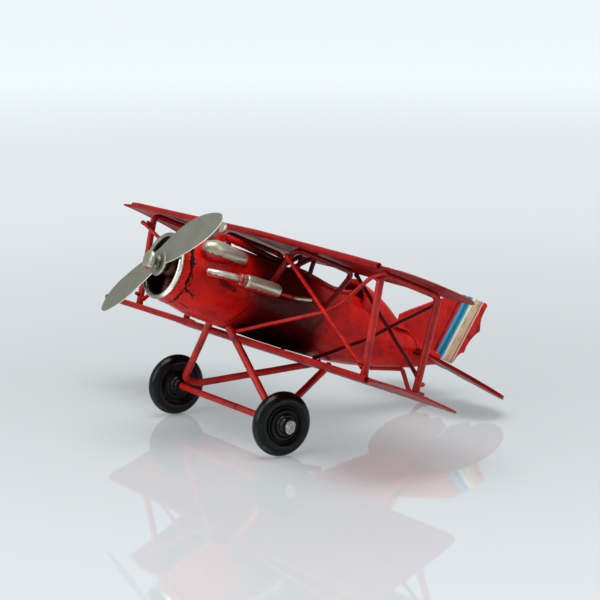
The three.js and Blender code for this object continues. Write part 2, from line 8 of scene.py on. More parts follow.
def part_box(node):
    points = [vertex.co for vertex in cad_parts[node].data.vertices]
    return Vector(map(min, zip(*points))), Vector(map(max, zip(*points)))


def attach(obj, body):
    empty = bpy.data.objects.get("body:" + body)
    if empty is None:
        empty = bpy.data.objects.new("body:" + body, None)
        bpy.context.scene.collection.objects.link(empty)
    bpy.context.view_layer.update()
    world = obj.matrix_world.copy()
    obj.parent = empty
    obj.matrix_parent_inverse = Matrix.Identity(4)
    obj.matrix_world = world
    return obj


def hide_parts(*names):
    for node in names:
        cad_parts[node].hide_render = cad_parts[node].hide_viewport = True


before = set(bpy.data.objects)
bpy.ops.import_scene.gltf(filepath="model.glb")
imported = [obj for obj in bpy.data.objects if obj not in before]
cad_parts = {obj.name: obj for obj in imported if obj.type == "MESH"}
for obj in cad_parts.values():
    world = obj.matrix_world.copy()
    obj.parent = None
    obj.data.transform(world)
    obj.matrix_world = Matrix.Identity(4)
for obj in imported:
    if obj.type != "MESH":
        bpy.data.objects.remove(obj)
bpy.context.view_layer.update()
noise.seed_set(1)  # noise_vector would take its offsets from the clock

# ---- the rigging frame ----
#
# Pieces are drawn in millimetres with the wings level and the middle of the axle at the origin:
# x to port, y aft, z up. RIG tips them nose-up about the axle and puts them in the row frame.

PITCH = math.radians(20)
MM = 0.001
axle_low, axle_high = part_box("axle")
AXLE = (axle_low + axle_high) / 2
RIG = Matrix.Translation(AXLE) @ Matrix.Rotation(-PITCH, 4, "X") @ Matrix.Scale(MM, 4)

THRUST_Z = 36.3
PROPELLER_Y = -38.5
COWL_FRONT_Y = -36.5
SHELL_FRONT_Y = -33.2
ENGINE_REAR_Y = -31
SHELL_REAR_Y = 76.8
SHEET = 0.8
HALF_SPAN = 80.5
BEND_X = 8
CURL_X = -69
# Wings: front and rear y, height, bow to port, corner radius, half length of the roll, tip curl.
UPPER = {"lead": -12, "trail": 24.2, "z": 53.8, "bend": 1.6, "tip": 9.7, "roll": 72.6, "curl": 1}
LOWER = {"lead": -8.6, "trail": 26.2, "z": 20.8, "bend": 0, "tip": 4, "roll": 77.6, "curl": 0}

# Sections: y, bottom, top, half width.
FUSELAGE = [
    (-32, 24.9, 46.5, 10.8), (-24, 23.3, 47.5, 12.1), (-12, 22.5, 47.7, 12.7),
    (4, 21.7, 47.1, 12.9), (20, 21.4, 46.2, 12.5), (36, 21.8, 44.8, 11.3),
    (52, 24.2, 41.2, 8.4), (66, 27.1, 37.6, 4.9), (78, 30.8, 34.5, 2.1),
]
TURTLEDECK = [
    (34.6, 37.5, 49.9, 8.5), (41, 36.5, 48.2, 8.6), (47, 35.6, 45.5, 8.2), (53, 34, 42, 7.5),
    (60, 32, 39.8, 6.3),
]
NOSE_Z = (FUSELAGE[0][1] + FUSELAGE[0][2]) / 2
COCKPIT_FRONT, COCKPIT_REAR, COCKPIT_HALF = 13, 33.4, 6.2
COCKPIT_Y, COCKPIT_REACH = (COCKPIT_FRONT + COCKPIT_REAR) / 2, (COCKPIT_REAR - COCKPIT_FRONT) / 2


def blend_table(table, at):
    """The table's other columns at the first column's value, on a smooth curve."""
    last = len(table) - 1
    at = min(max(at, table[0][0]), table[-1][0])
    i = max(k for k in range(last) if table[k][0] <= at)
    t = (at - table[i][0]) / (table[i + 1][0] - table[i][0])
    found = []
    for column in range(1, len(table[0])):
        before, start, end, after = (table[min(max(i + k, 0), last)][column] for k in (-1, 0, 1, 2))
        a, b = (end - before) / 2, (after - start) / 2
        found.append(
            (2 * t**3 - 3 * t**2 + 1) * start + (t**3 - 2 * t**2 + t) * a
            + (3 * t**2 - 2 * t**3) * end + (t**3 - t**2) * b
        )
    return found


# ---- mesh code ----


def turns(count):
    """Evenly many angles round a circle."""
    return [2 * math.pi * k / count for k in range(count)]


def loft(rings, caps=True):
    """A skin over rings of equally many points."""
    mesh = bmesh.new()
    rows = [[mesh.verts.new(p) for p in ring] for ring in rings]
    count = len(rows[0])
    for a, b in zip(rows, rows[1:]):
        for k in range(count):
            mesh.faces.new((a[k], a[(k + 1) % count], b[(k + 1) % count], b[k]))
    if caps:
        for row in (rows[0], rows[-1]):
            middle = mesh.verts.new(sum((v.co for v in row), Vector()) / count)
            for k in range(count):
                mesh.faces.new((row[k], row[(k + 1) % count], middle))
    bmesh.ops.remove_doubles(mesh, verts=mesh.verts, dist=1e-5)
    bmesh.ops.recalc_face_normals(mesh, faces=mesh.faces)
    return mesh


def lathe(profile, at=(0, 0, 0), steps=72, axis="Y", closed=False, wobble=None):
    """A profile of (radius, place along the axis) turned about the axis through at."""
    if closed:
        profile = [*profile, profile[0]]
    rings = []
    for radius, along in profile:
        ring = []
        for turn in turns(steps):
            far = radius * (1 + (wobble(turn, along) if wobble else 0))
            if axis == "Y":
                p = Vector((far * math.cos(turn), along, far * math.sin(turn)))
            else:
                p = Vector((along, far * math.cos(turn), far * math.sin(turn)))
            ring.append(p + Vector(at))
        rings.append(ring)
    mesh = loft(rings, caps=False)
    bmesh.ops.holes_fill(mesh, edges=mesh.edges, sides=steps)
    bmesh.ops.recalc_face_normals(mesh, faces=mesh.faces)
    return mesh


def rounded(points, bend, step=1.5):
    """The points of a path with its corners rounded."""
    points = [Vector(p) for p in points]
    path, start = [], points[0]
    for i in range(1, len(points) - 1):
        corner = points[i]
        before = corner.lerp(points[i - 1], bend / (points[i - 1] - corner).length)
        after = corner.lerp(points[i + 1], bend / (points[i + 1] - corner).length)
        path += straight(start, before, step)
        for k in range(1, 10):
            t = k / 10
            path.append(before.lerp(corner, t).lerp(corner.lerp(after, t), t))
        start = after
    path += straight(start, points[-1], step)
    path.append(points[-1])
    return path


def straight(start, end, step):
    count = max(1, round((end - start).length / step))
    return [start.lerp(end, k / count) for k in range(count)]


def wire(points, radius, bend=2.5, sides=20, swell=(1.0, 1.0), wander=0.06, oval=1.0):
    """A bent wire with rounded ends, a little thicker at the ends where solder clings."""
    path = rounded(points, bend)
    length = sum((b - a).length for a, b in zip(path, path[1:]))
    side = Vector((1, 0, 0))
    if abs((path[1] - path[0]).normalized().x) > 0.8:
        side = Vector((0, 0, 1))
    rings, gone, last = [], 0.0, len(path) - 1
    for i, p in enumerate(path):
        ahead = (path[min(i + 1, last)] - path[max(i - 1, 0)]).normalized()
        side = (side - ahead * side.dot(ahead)).normalized()
        up = ahead.cross(side)
        if i:
            gone += (p - path[i - 1]).length
        left = length - gone
        grow = 1 + (swell[0] - 1) * math.exp(-gone / 1.2) + (swell[1] - 1) * math.exp(-left / 1.2)
        shift = Vector(noise.noise_vector(p * 0.15)) * wander * min(1, gone / 3, left / 3)
        ends = [(0, 1.0)]
        if i == 0:
            ends = [(-0.1, 0.6), (-0.04, 0.88), (0.06, 1.0)]
        elif i == last:
            ends = [(-0.06, 1.0), (0.04, 0.88), (0.1, 0.6)]
        for out, share in ends:
            ring = []
            for turn in turns(sides):
                far = radius * grow * share * (1 + 0.035 * noise.noise(p * 0.5 + Vector((turn, 0, 0))))
                ring.append(p + shift + ahead * out * radius * 3 + side * far * math.cos(turn)
                            + up * far * oval * math.sin(turn))
            rings.append(ring)
    return loft(rings)


def outline_plate(outline, thickness, to_space, bevel=0.18):
    """A flat plate with softened edges. to_space turns (u, v, across) into a point."""
    mesh = bmesh.new()
    low = [mesh.verts.new((u, v, 0)) for u, v in outline]
    face = mesh.faces.new(low)
    mesh.normal_update()
    if face.normal.z > 0:
        face.normal_flip()
    top = bmesh.ops.extrude_face_region(mesh, geom=[face])
    for v in [g for g in top["geom"] if isinstance(g, bmesh.types.BMVert)]:
        v.co.z += thickness
    mesh.normal_update()
    rims = [e for e in mesh.edges if abs(e.verts[0].co.z - e.verts[1].co.z) < 1e-6]
    bmesh.ops.bevel(mesh, geom=rims, offset=bevel, segments=3, affect="EDGES", profile=0.5)
    bmesh.ops.triangulate(mesh, faces=[f for f in mesh.faces if len(f.verts) > 4])
    for v in mesh.verts:
        v.co = to_space(v.co.x, v.co.y, v.co.z - thickness / 2)
    bmesh.ops.recalc_face_normals(mesh, faces=mesh.faces)
    return mesh


def curve_through(points, count, closed=False):
    """Evenly many points on a smooth curve through the given ones."""
    points = [Vector(p).to_3d() for p in points]
    total = len(points)
    spans = total if closed else total - 1
    found = []
    for span in range(spans):
        pick = [
            points[(span + k) % total] if closed else points[min(max(span + k, 0), total - 1)]
            for k in (-1, 0, 1, 2)
        ]
        for step in range(count):
            t = step / count
            a, b, c, d = pick
            found.append(
                0.5 * (2 * b + (c - a) * t + (2 * a - 5 * b + 4 * c - d) * t**2
                       + (3 * b - a - 3 * c + d) * t**3)
            )
    if not closed:
        found.append(points[-1])
    return found


def merged(*parts):
    """Several bmeshes as one."""
    whole = bmesh.new()
    for part in parts:
        mesh = bpy.data.meshes.new("part")
        part.to_mesh(mesh)
        part.free()
        whole.from_mesh(mesh)
        bpy.data.meshes.remove(mesh)
    return whole


def combined(first, second, operation):
    """The boolean of two bmeshes, as a bmesh."""
    objects = []
    for part in (first, second):
        mesh = bpy.data.meshes.new("part")
        part.to_mesh(mesh)
        part.free()
        objects.append(add_object("part", mesh))
    modifier = objects[0].modifiers.new("solve", "BOOLEAN")
    modifier.operation, modifier.object, modifier.solver = operation, objects[1], "EXACT"
    solved = objects[0].evaluated_get(bpy.context.evaluated_depsgraph_get())
    found = bmesh.new()
    found.from_mesh(solved.to_mesh())
    for o in objects:
        bpy.data.objects.remove(o)
    return found


def mirrored(part):
    copy = part.copy()
    for v in copy.verts:
        v.co.x = -v.co.x
    bmesh.ops.reverse_faces(copy, faces=copy.faces)
    return copy


def add_object(name, data):
    made = bpy.data.objects.new(name, data)
    bpy.context.scene.collection.objects.link(made)
    return made


def make(name, part, material, nodes, body="airframe", angle=40):
    """Puts a piece in the row frame, hangs it under its body's empty and hides the CAD nodes it stands for.
    """
    mesh = bpy.data.meshes.new(name)
    part.to_mesh(mesh)
    part.free()
    mesh.transform(RIG)
    mesh.shade_smooth()
    mesh.set_sharp_from_angle(angle=math.radians(angle))
    mesh.materials.append(material)
    piece = add_object(name, mesh)
    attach(piece, body)
    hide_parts(*nodes)


def make_pair(name, part, material):
    """The port piece of a node pair, and its mirror image."""
    other = mirrored(part)
    make(f"{name}_port_skin", part, material, [f"{name}_port"])
    make(f"{name}_starboard_skin", other, material, [f"{name}_starboard"])


# ---- materials ----


def srgb(red, green, blue):
    def linear(value):
        value /= 255
        return value / 12.92 if value <= 0.04045 else ((value + 0.055) / 1.055) ** 2.4

    return (linear(red), linear(green), linear(blue), 1.0)


def add_node(tree, kind, inputs=None, **properties):
    """A shader node with its properties set, and its inputs set or linked."""
    made = tree.nodes.new(kind)
    for key, value in properties.items():
        setattr(made, key, value)
    for key, value in (inputs or {}).items():
        if isinstance(value, bpy.types.NodeSocket):
            tree.links.new(value, made.inputs[key])
        else:
            made.inputs[key].default_value = value
    return made


class Paint:
    """A material under construction, with the piece's place in rigging millimetres."""

    def __init__(self, name):
        self.material = bpy.data.materials.new(name)
        self.material.use_nodes = True
        self.tree = self.material.node_tree
        self.shader = self.tree.nodes["Principled BSDF"]
        place = self.node("ShaderNodeTexCoord").outputs["Object"]
        mapping = self.node("ShaderNodeMapping", {"Vector": place}, vector_type="TEXTURE")
        mapping.inputs["Location"].default_value = AXLE
        mapping.inputs["Rotation"].default_value = (-PITCH, 0, 0)
        mapping.inputs["Scale"].default_value = (MM, MM, MM)
        self.place = mapping.outputs[0]
        split = self.node("ShaderNodeSeparateXYZ", {0: self.place})
        self.x, self.y, self.z = split.outputs

    def node(self, kind, inputs=None, **properties):
        return add_node(self.tree, kind, inputs, **properties)

    def math(self, operation, *values, clamp=False):
        return self.node(
            "ShaderNodeMath", dict(enumerate(values)), operation=operation, use_clamp=clamp
        ).outputs[0]

    def plus(self, first, second):
        return self.math("ADD", first, second)

    def minus(self, first, second, clamp=False):
        return self.math("SUBTRACT", first, second, clamp=clamp)

    def times(self, first, second):
        return self.math("MULTIPLY", first, second)

    def stretched(self, x, y, z):
        scaled = self.node("ShaderNodeVectorMath", {0: self.place, 1: (x, y, z)}, operation="MULTIPLY")
        return scaled.outputs[0]

    def noise(self, scale, detail=3, rough=0.55, vector=None):
        return self.node("ShaderNodeTexNoise", {
            "Vector": vector or self.place, "Scale": scale, "Detail": detail, "Roughness": rough,
        }).outputs["Fac"]

    def step(self, value, low, high):
        """0 below low, 1 above high, smooth between."""
        return self.node("ShaderNodeMapRange", {
            "Value": value, "From Min": low, "From Max": high,
        }, interpolation_type="SMOOTHSTEP").outputs["Result"]

    def fall(self, value, low, high):
        """1 below low, 0 above high, smooth between."""
        return self.minus(1.0, self.step(value, low, high))

    def mix(self, share, first, second):
        mixed = self.node("ShaderNodeMix", {"Factor": share, 6: first, 7: second}, data_type="RGBA")
        return mixed.outputs[2]

    def line(self, start, end, width):
        """1 on a wavering line between two (y, z) places, seen from the side."""
        shake = self.node("ShaderNodeTexNoise", {"Vector": self.place, "Scale": 0.9, "Detail": 4.0})
        moved = self.node("ShaderNodeVectorMath", {
            0: shake.outputs["Color"], 1: (0.5, 0.5, 0.5)}, operation="SUBTRACT").outputs[0]
        moved = self.node("ShaderNodeVectorMath", {0: moved, "Scale": 0.8}, operation="SCALE").outputs[0]
        moved = self.node("ShaderNodeVectorMath", {0: moved, 1: self.place}, operation="ADD").outputs[0]
        split = self.node("ShaderNodeSeparateXYZ", {0: moved})
        y = self.minus(split.outputs[1], start[0])
        z = self.minus(split.outputs[2], start[1])
        run, rise = end[0] - start[0], end[1] - start[1]
        length = math.hypot(run, rise)
        run, rise = run / length, rise / length
        along = self.plus(self.times(y, run), self.times(z, rise))
        across = self.math("ABSOLUTE", self.minus(self.times(y, rise), self.times(z, run)))
        past = self.math("MAXIMUM", self.times(along, -1.0), self.minus(along, length))
        far = self.plus(across, self.math("MAXIMUM", past, 0.0))
        return self.minus(1.0, self.step(far, width * 0.4, width), clamp=True)

    def finish(self, colour, rough, bump, distance, metal=0.0, specular=0.5):
        shader = self.shader
        for key, value in (("Base Color", colour), ("Roughness", rough), ("Metallic", metal)):
            if isinstance(value, bpy.types.NodeSocket):
                self.tree.links.new(value, shader.inputs[key])
            else:
                shader.inputs[key].default_value = value
        shader.inputs["Specular IOR Level"].default_value = specular
        bumped = self.node("ShaderNodeBump", {"Height": bump, "Strength": 0.6, "Distance": distance * MM})
        self.tree.links.new(bumped.outputs[0], shader.inputs["Normal"])
        return self.material


RED_LIGHT = srgb(206, 20, 12)
RED = srgb(180, 15, 11)
RED_DEEP = srgb(118, 9, 9)
SOOT_AND_SHADE = srgb(24, 4, 5)
MAROON = srgb(78, 7, 8)
BARE = srgb(140, 96, 84)


def red_paint(name, patina_and_shade=None, dirt=0.5, lines=(), lustre=0.26, chips=0.5,
              tones=(RED_LIGHT, RED, RED_DEEP), torn=None, shine=0.13):
    """Hand-brushed red with soot, chips and scratches. The patina and torn masks give where it is dark;
    they also carry painted shade, on the fuselage's belly and inside the nose.
    """
    p = Paint(name)
    broad = p.noise(0.09, 2)
    colour = p.mix(p.step(broad, 0.35, 0.65), tones[1], tones[0])
    colour = p.mix(p.times(p.step(p.noise(0.35, 4), 0.45, 0.75), 0.5), colour, tones[2])
    soot_and_shade = p.times(p.step(p.noise(0.22, 5, 0.65), 0.5, 0.72), dirt)
    # The patina mask darkens towards maroon, then towards the soot colour; on the fuselage it also holds
    # painted shade on the belly.
    if patina_and_shade is not None:
        patina_and_shade_mask = patina_and_shade(p)
        ragged = p.plus(patina_and_shade_mask, p.times(p.minus(p.noise(0.16, 5, 0.6), 0.5), 0.5))
        colour = p.mix(p.step(ragged, 0.1, 0.85), colour, MAROON)
        deepest_patina_and_shade = p.step(p.times(ragged, p.plus(0.5, p.noise(0.3, 4, 0.6))), 0.8, 1.3)
        soot_and_shade = p.math("MAXIMUM", soot_and_shade, deepest_patina_and_shade)
    # torn darkens torn joints, and also paints shade inside the nose.
    if torn is not None:
        soot_and_shade = p.math("MAXIMUM", soot_and_shade, torn(p))
    colour = p.mix(soot_and_shade, colour, SOOT_AND_SHADE)
    grain = p.noise(1.0, 5, 0.7, p.stretched(2.2, 0.35, 2.2))
    colour = p.mix(p.times(p.step(grain, 0.62, 0.74), 0.55 * dirt), colour, SOOT_AND_SHADE)
    chip = p.step(p.noise(1.7, 3, 0.6), 0.74 - 0.05 * chips, 0.76 - 0.05 * chips)
    chip = p.times(chip, p.step(p.noise(0.12, 2), 0.48, 0.6))
    colour = p.mix(chip, colour, SOOT_AND_SHADE)
    bare = p.step(p.noise(2.6, 2, 0.5), 0.775, 0.8)
    colour = p.mix(p.times(bare, 0.6), colour, BARE)
    height = p.plus(p.times(p.noise(0.5, 3), 0.8), p.times(p.noise(3.2, 3), 0.18))
    height = p.minus(height, p.times(chip, 0.5))
    for start, end, width, *depth in lines:
        crack = p.times(p.line(start, end, width), depth[0] if depth else 1.0)
        colour = p.mix(crack, colour, SOOT_AND_SHADE)
        height = p.minus(height, p.times(crack, 1.6))
    rough = p.plus(lustre, p.times(p.plus(soot_and_shade, p.noise(0.8, 3)), 0.16))
    return p.finish(colour, rough, height, 0.2, specular=shine)


def fuselage_patina_and_belly_shade(p):
    """Darkest over the middle of the body, most of all on the belly: the band is patina, the extra
    darkening of the belly is painted shade.
    """
    fore = p.step(p.plus(p.y, p.times(p.z, 0.12)), -16, 1)
    aft = p.fall(p.plus(p.y, p.times(p.z, 0.2)), 16, 32)
    # Painted shade: the belly gets darker still.
    belly = p.fall(p.z, 23, 30)
    deeper = p.plus(0.85, p.times(belly, 0.6))
    return p.times(p.times(fore, aft), deeper)


def hollow(p, radius=10.02):
    """The unlit inside of the nose."""
    up = p.minus(p.z, NOSE_Z)
    far = p.math("SQRT", p.plus(p.times(p.x, p.x), p.times(up, up)))
    return p.fall(far, radius, radius + 0.1)


def torn_nose_and_inner_shade(p):
    """Bare dark metal along the torn joint behind the nose band, and painted shade inside it."""
    ragged = p.plus(p.y, p.times(p.minus(p.noise(0.75, 5, 0.65), 0.5), 2.6))
    joint = p.fall(ragged, -32.75, -32.55)
    # Painted shade on the inside of the shell behind the band.
    inside = p.times(hollow(p, 10.3), p.fall(p.y, -29, -28))
    return p.math("MAXIMUM", joint, inside)


SILVER = srgb(168, 164, 152)
SILVER_DARK = srgb(104, 100, 88)


def silver_paint(name, red_below=None, tone=SILVER, metal=0.75, rough=0.26, mottle=0.45, cut_edge_highlight=False,
                 dent=0.12, painted_highlight=None):
    """Dull silver paint. red_below gives how far a place lies under the line where red begins."""
    p = Paint(name)
    colour = p.mix(p.step(p.noise(0.35, 4), 0.35, 0.7), tone, SILVER_DARK)
    colour = p.mix(1 - mottle, colour, tone)
    speck = p.step(p.noise(2.4, 4, 0.6), 0.66, 0.74)
    colour = p.mix(p.times(speck, 0.5), colour, srgb(70, 58, 48))
    # Where bright says, the silver is lightened towards near-white: a painted highlight.
    if painted_highlight is not None:
        colour = p.mix(painted_highlight(p), colour, srgb(236, 232, 214))
    metallic = metal
    # Edges turned away from the thrust axis are painted near-white: bare cut metal, brightened as a painted
    # highlight.
    if cut_edge_highlight:
        normal = p.node("ShaderNodeTexCoord").outputs["Normal"]
        facing = p.node("ShaderNodeVectorMath", {0: normal, 1: (0, math.cos(PITCH), -math.sin(PITCH))},
                        operation="DOT_PRODUCT").outputs["Value"]
        edge = p.fall(p.math("ABSOLUTE", facing), 0.45, 0.8)
        colour = p.mix(edge, colour, srgb(246, 244, 232))
    gloss = p.plus(rough, p.times(p.noise(0.9, 3), 0.16))
    if red_below is not None:
        edge = p.plus(red_below(p), p.times(p.minus(p.noise(0.9, 5, 0.65), 0.5), 1.8))
        red = p.step(edge, -0.06, 0.06)
        rim_red = p.mix(p.step(p.noise(0.5, 4), 0.5, 0.7), RED, RED_DEEP)
        colour = p.mix(red, colour, rim_red)
        border = p.times(red, p.minus(1.0, p.step(edge, 0.06, 0.35), clamp=True))
        colour = p.mix(p.times(border, 0.5), colour, RED_DEEP)
        metallic = p.times(p.minus(1.0, red), metal)
    height = p.plus(p.times(p.noise(0.5, 2), 0.9), p.times(p.noise(3.0, 3), 0.1))
    return p.finish(colour, gloss, height, dent, metal=metallic)


def plain_metal(name, tone, dark, rough, metal, scale=1.2, distance=0.1):
    p = Paint(name)
    colour = p.mix(p.step(p.noise(scale, 5, 0.6), 0.35, 0.7), tone, dark)
    gloss = p.plus(rough, p.times(p.noise(scale * 1.5, 4), 0.2))
    return p.finish(colour, gloss, p.noise(scale * 2, 4), distance, metal=metal)


def wheel_plastic():
    p = Paint("wheel_plastic")
    dust = p.step(p.noise(0.45, 5, 0.65), 0.5, 0.75)
    colour = p.mix(p.times(dust, 0.3), srgb(7, 7, 8), srgb(26, 26, 28))
    speck = p.step(p.noise(3.0, 2), 0.72, 0.76)
    colour = p.mix(p.times(speck, 0.2), colour, srgb(60, 60, 60))
    gloss = p.plus(0.24, p.times(dust, 0.2))
    height = p.plus(p.noise(0.8, 3), p.times(p.noise(4.0, 3), 0.25))
    return p.finish(colour, gloss, height, 0.04, specular=0.22)


def rudder_paint():
    """Red, with a blue and a cream stripe that lean with the rudder's hinge line."""
    p = Paint("rudder_paint")
    base = p.mix(p.step(p.noise(0.3, 4), 0.4, 0.7), RED_LIGHT, RED_DEEP)
    height = p.times(p.noise(0.6, 3), 0.8)
    waver = p.times(p.minus(p.noise(0.7, 4), 0.5), 0.5)
    across = p.plus(p.minus(p.y, p.times(p.minus(p.z, 45.6), 0.255)), waver)

    def between(low, high, soft=0.12):
        return p.times(p.step(across, low - soft, low + soft), p.fall(across, high - soft, high + soft))

    along = p.node("ShaderNodeCombineXYZ", {0: across, 1: p.times(p.z, 0.12), 2: 0.0}).outputs[0]
    streak = p.noise(1.3, 5, 0.7, along)
    blue = p.mix(between(79.3, 80.9, 0.6), srgb(62, 172, 214), srgb(14, 112, 138))
    blue = p.mix(p.times(p.step(streak, 0.45, 0.7), 0.5), blue, srgb(8, 84, 122))
    cream = p.mix(p.step(streak, 0.48, 0.68), srgb(214, 188, 150), srgb(150, 118, 86))
    dashes = p.times(p.step(p.noise(2.6, 5, 0.7, along), 0.6, 0.64), 0.9)
    dashes = p.times(dashes, p.step(p.noise(0.5, 3), 0.42, 0.55))
    cream = p.mix(dashes, cream, srgb(44, 30, 24))
    cream = p.mix(p.fall(across, 82.4, 82.9), cream, srgb(240, 232, 212))
    colour = p.mix(between(77.7, 78.3), base, srgb(150, 60, 90))
    colour = p.mix(between(78.3, 81.9), colour, blue)
    colour = p.mix(between(81.6, 86.1), colour, cream)
    colour = p.mix(between(85.7, 86.0), colour, srgb(70, 30, 26))
    colour = p.mix(between(86.1, 86.8), colour, srgb(232, 170, 158))
    gloss = p.plus(0.3, p.times(p.noise(0.8, 3), 0.2))
    return p.finish(colour, gloss, height, 0.2, specular=0.2)


# ---- stage ----

CAMERA_TURN = math.radians(56.587)
CAMERA_RISE = math.radians(10.423)
CAMERA_FAR = 600.77
CAMERA_AIM = (6.42, 23.67, 31.74)  # from the axle, in mm, level with the ground
LENS = 113.58

# How the floor's glow rises with the distance in metres: start, end, low, high.
GLOW_RISES = [(0.08, 0.26, 0.18, 0.22), (0.1, 0.6, 0, 0.23), (0.4, 1.8, 0, 0.34)]
GLOW_TOWARDS_CAMERA = (-0.12, 0.2, 0, 0.1)


def floor_gloss():
    """A pale, faintly mirroring floor that glows a little far away, as a lit sweep does."""
    material = bpy.data.materials.new("floor_gloss")
    material.use_nodes = True
    tree = material.node_tree
    tree.nodes.clear()
    matt = add_node(tree, "ShaderNodeBsdfDiffuse", {"Color": srgb(170, 175, 177)})
    gloss = add_node(tree, "ShaderNodeBsdfGlossy", {"Color": srgb(250, 252, 253), "Roughness": 0.035})
    both = add_node(tree, "ShaderNodeMixShader", {0: 0.3, 1: matt.outputs[0], 2: gloss.outputs[0]})
    place = add_node(tree, "ShaderNodeTexCoord").outputs["Object"]
    far = add_node(tree, "ShaderNodeVectorMath", {0: place}, operation="LENGTH")
    camera_way = (math.sin(CAMERA_TURN), -math.cos(CAMERA_TURN), 0)
    towards = add_node(tree, "ShaderNodeVectorMath", {0: place, 1: camera_way}, operation="DOT_PRODUCT")
    strength = 0.0
    rises = [(far, *rise) for rise in GLOW_RISES] + [(towards, *GLOW_TOWARDS_CAMERA)]
    for measure, start, end, low, high in rises:
        rise = add_node(tree, "ShaderNodeMapRange", {
            "Value": measure.outputs["Value"], "From Min": start, "From Max": end,
            "To Min": low, "To Max": high,
        }, interpolation_type="SMOOTHSTEP")
        strength = add_node(tree, "ShaderNodeMath", {0: strength, 1: rise.outputs["Result"]}).outputs[0]
    glow = add_node(tree, "ShaderNodeEmission", {"Color": srgb(231, 237, 240), "Strength": strength})
    total = add_node(tree, "ShaderNodeAddShader", {0: both.outputs[0], 1: glow.outputs[0]})
    add_node(tree, "ShaderNodeOutputMaterial", {"Surface": total.outputs[0]})
    return material


def build_stage():
    aim = Vector((CAMERA_AIM[0] * MM, AXLE.y + CAMERA_AIM[1] * MM, AXLE.z + CAMERA_AIM[2] * MM))
    back = Vector((
        math.sin(CAMERA_TURN) * math.cos(CAMERA_RISE), -math.cos(CAMERA_TURN) * math.cos(CAMERA_RISE),
        math.sin(CAMERA_RISE),
    ))
    camera = add_object("camera", bpy.data.cameras.new("camera"))
    camera.data.lens, camera.data.sensor_width = LENS, 36
    camera.data.clip_start = 0.01
    camera.location = aim + back * CAMERA_FAR * MM
    camera.rotation_euler = back.to_track_quat("Z", "Y").to_euler()
    bpy.context.scene.camera = camera

    view = bpy.context.scene.view_settings
    view.view_transform, view.look = "Standard", "None"

    floor = add_object("floor", bpy.data.meshes.new("floor"))
    plane = bmesh.new()
    bmesh.ops.create_grid(plane, x_segments=8, y_segments=8, size=20)
    plane.to_mesh(floor.data)
    plane.free()
    floor.data.materials.append(floor_gloss())

    world = bpy.data.worlds.new("world")
    bpy.context.scene.world = world
    world.use_nodes = True
    world.node_tree.nodes["Background"].inputs["Color"].default_value = srgb(232, 240, 243)
    world.node_tree.nodes["Background"].inputs["Strength"].default_value = 0.5

    def softbox(name, turn, rise, far, size, power, colour):
        light = bpy.data.lights.new(name, "AREA")
        light.shape, light.size, light.size_y = "RECTANGLE", size[0], size[1]
        light.energy, light.color = power, colour
        lamp = add_object(name, light)
        turn, rise = CAMERA_TURN + math.radians(turn), math.radians(rise)
        away = Vector((math.sin(turn) * math.cos(rise), -math.cos(turn) * math.cos(rise), math.sin(rise)))
        lamp.location = aim + away * far
        lamp.rotation_euler = away.to_track_quat("Z", "Y").to_euler()

    softbox("softbox_top", 0, 84, 1.1, (0.95, 0.75), 11, (1, 0.99, 0.97))
    softbox("softbox_left", -62, 30, 1.1, (0.7, 0.9), 5.5, (1, 1, 1))
    softbox("softbox_right", 70, 24, 1.3, (0.5, 0.9), 2.5, (0.96, 0.98, 1))


# ---- fuselage ----


def oval(table, y, grow, sides, from_y=None):
    """A ring of the body's section at y, grown outward. from_y makes its y depend on the angle."""
    bottom, top, half = blend_table(table, y)
    ring = []
    for turn in turns(sides):
        x = (half + grow) * math.cos(turn)
        z = (bottom + top) / 2 + ((top - bottom) / 2 + grow) * math.sin(turn)
        ring.append(Vector((x, y if from_y is None else from_y(turn), z)))
    return ring


def ragged_front(turn):
    """The shell's torn front edge."""
    spot = Vector((math.cos(turn), math.sin(turn), 0.3))
    tear = noise.noise(spot * 3.1) * 0.6 + noise.noise(spot * 9) * 0.55 + noise.noise(spot * 23) * 0.4
    return SHELL_FRONT_Y - 0.5 * math.sin(turn) + tear


# Cracks and smears on the shell: from (y, z), to (y, z), width, and depth where it is less than 1.
CRACKS = [
    ((-33, 31.2), (-31.6, 30.4), 0.5), ((-31.6, 30.4), (-29, 29.6), 0.32),
    ((-29.6, 29.8), (-28.6, 28.6), 0.2), ((-32.6, 31.4), (-31.8, 32.8), 0.25),
    ((-33.2, 38.4), (-32, 38.9), 0.5), ((-32.8, 36.2), (-31.9, 34.6), 0.3),
    ((-13.4, 24.2), (-10.6, 30.8), 0.24), ((-22.4, 36.2), (-17, 34.8), 1.2, 0.75),
    ((-31, 26.4), (-27, 25.6), 0.2), ((34.5, 43.4), (50, 40.2), 0.22),
    ((50, 40.2), (62.4, 36.8), 0.26), ((62.4, 36.8), (63.4, 32.4), 0.35),
    ((61.8, 32.6), (64.6, 32.2), 0.4), ((14.8, 30.2), (17.2, 33.8), 1.1, 0.6),
    ((26, 30.5), (33, 36), 2.6, 0.22), ((40, 27.5), (47, 29), 2.2, 0.25),
]


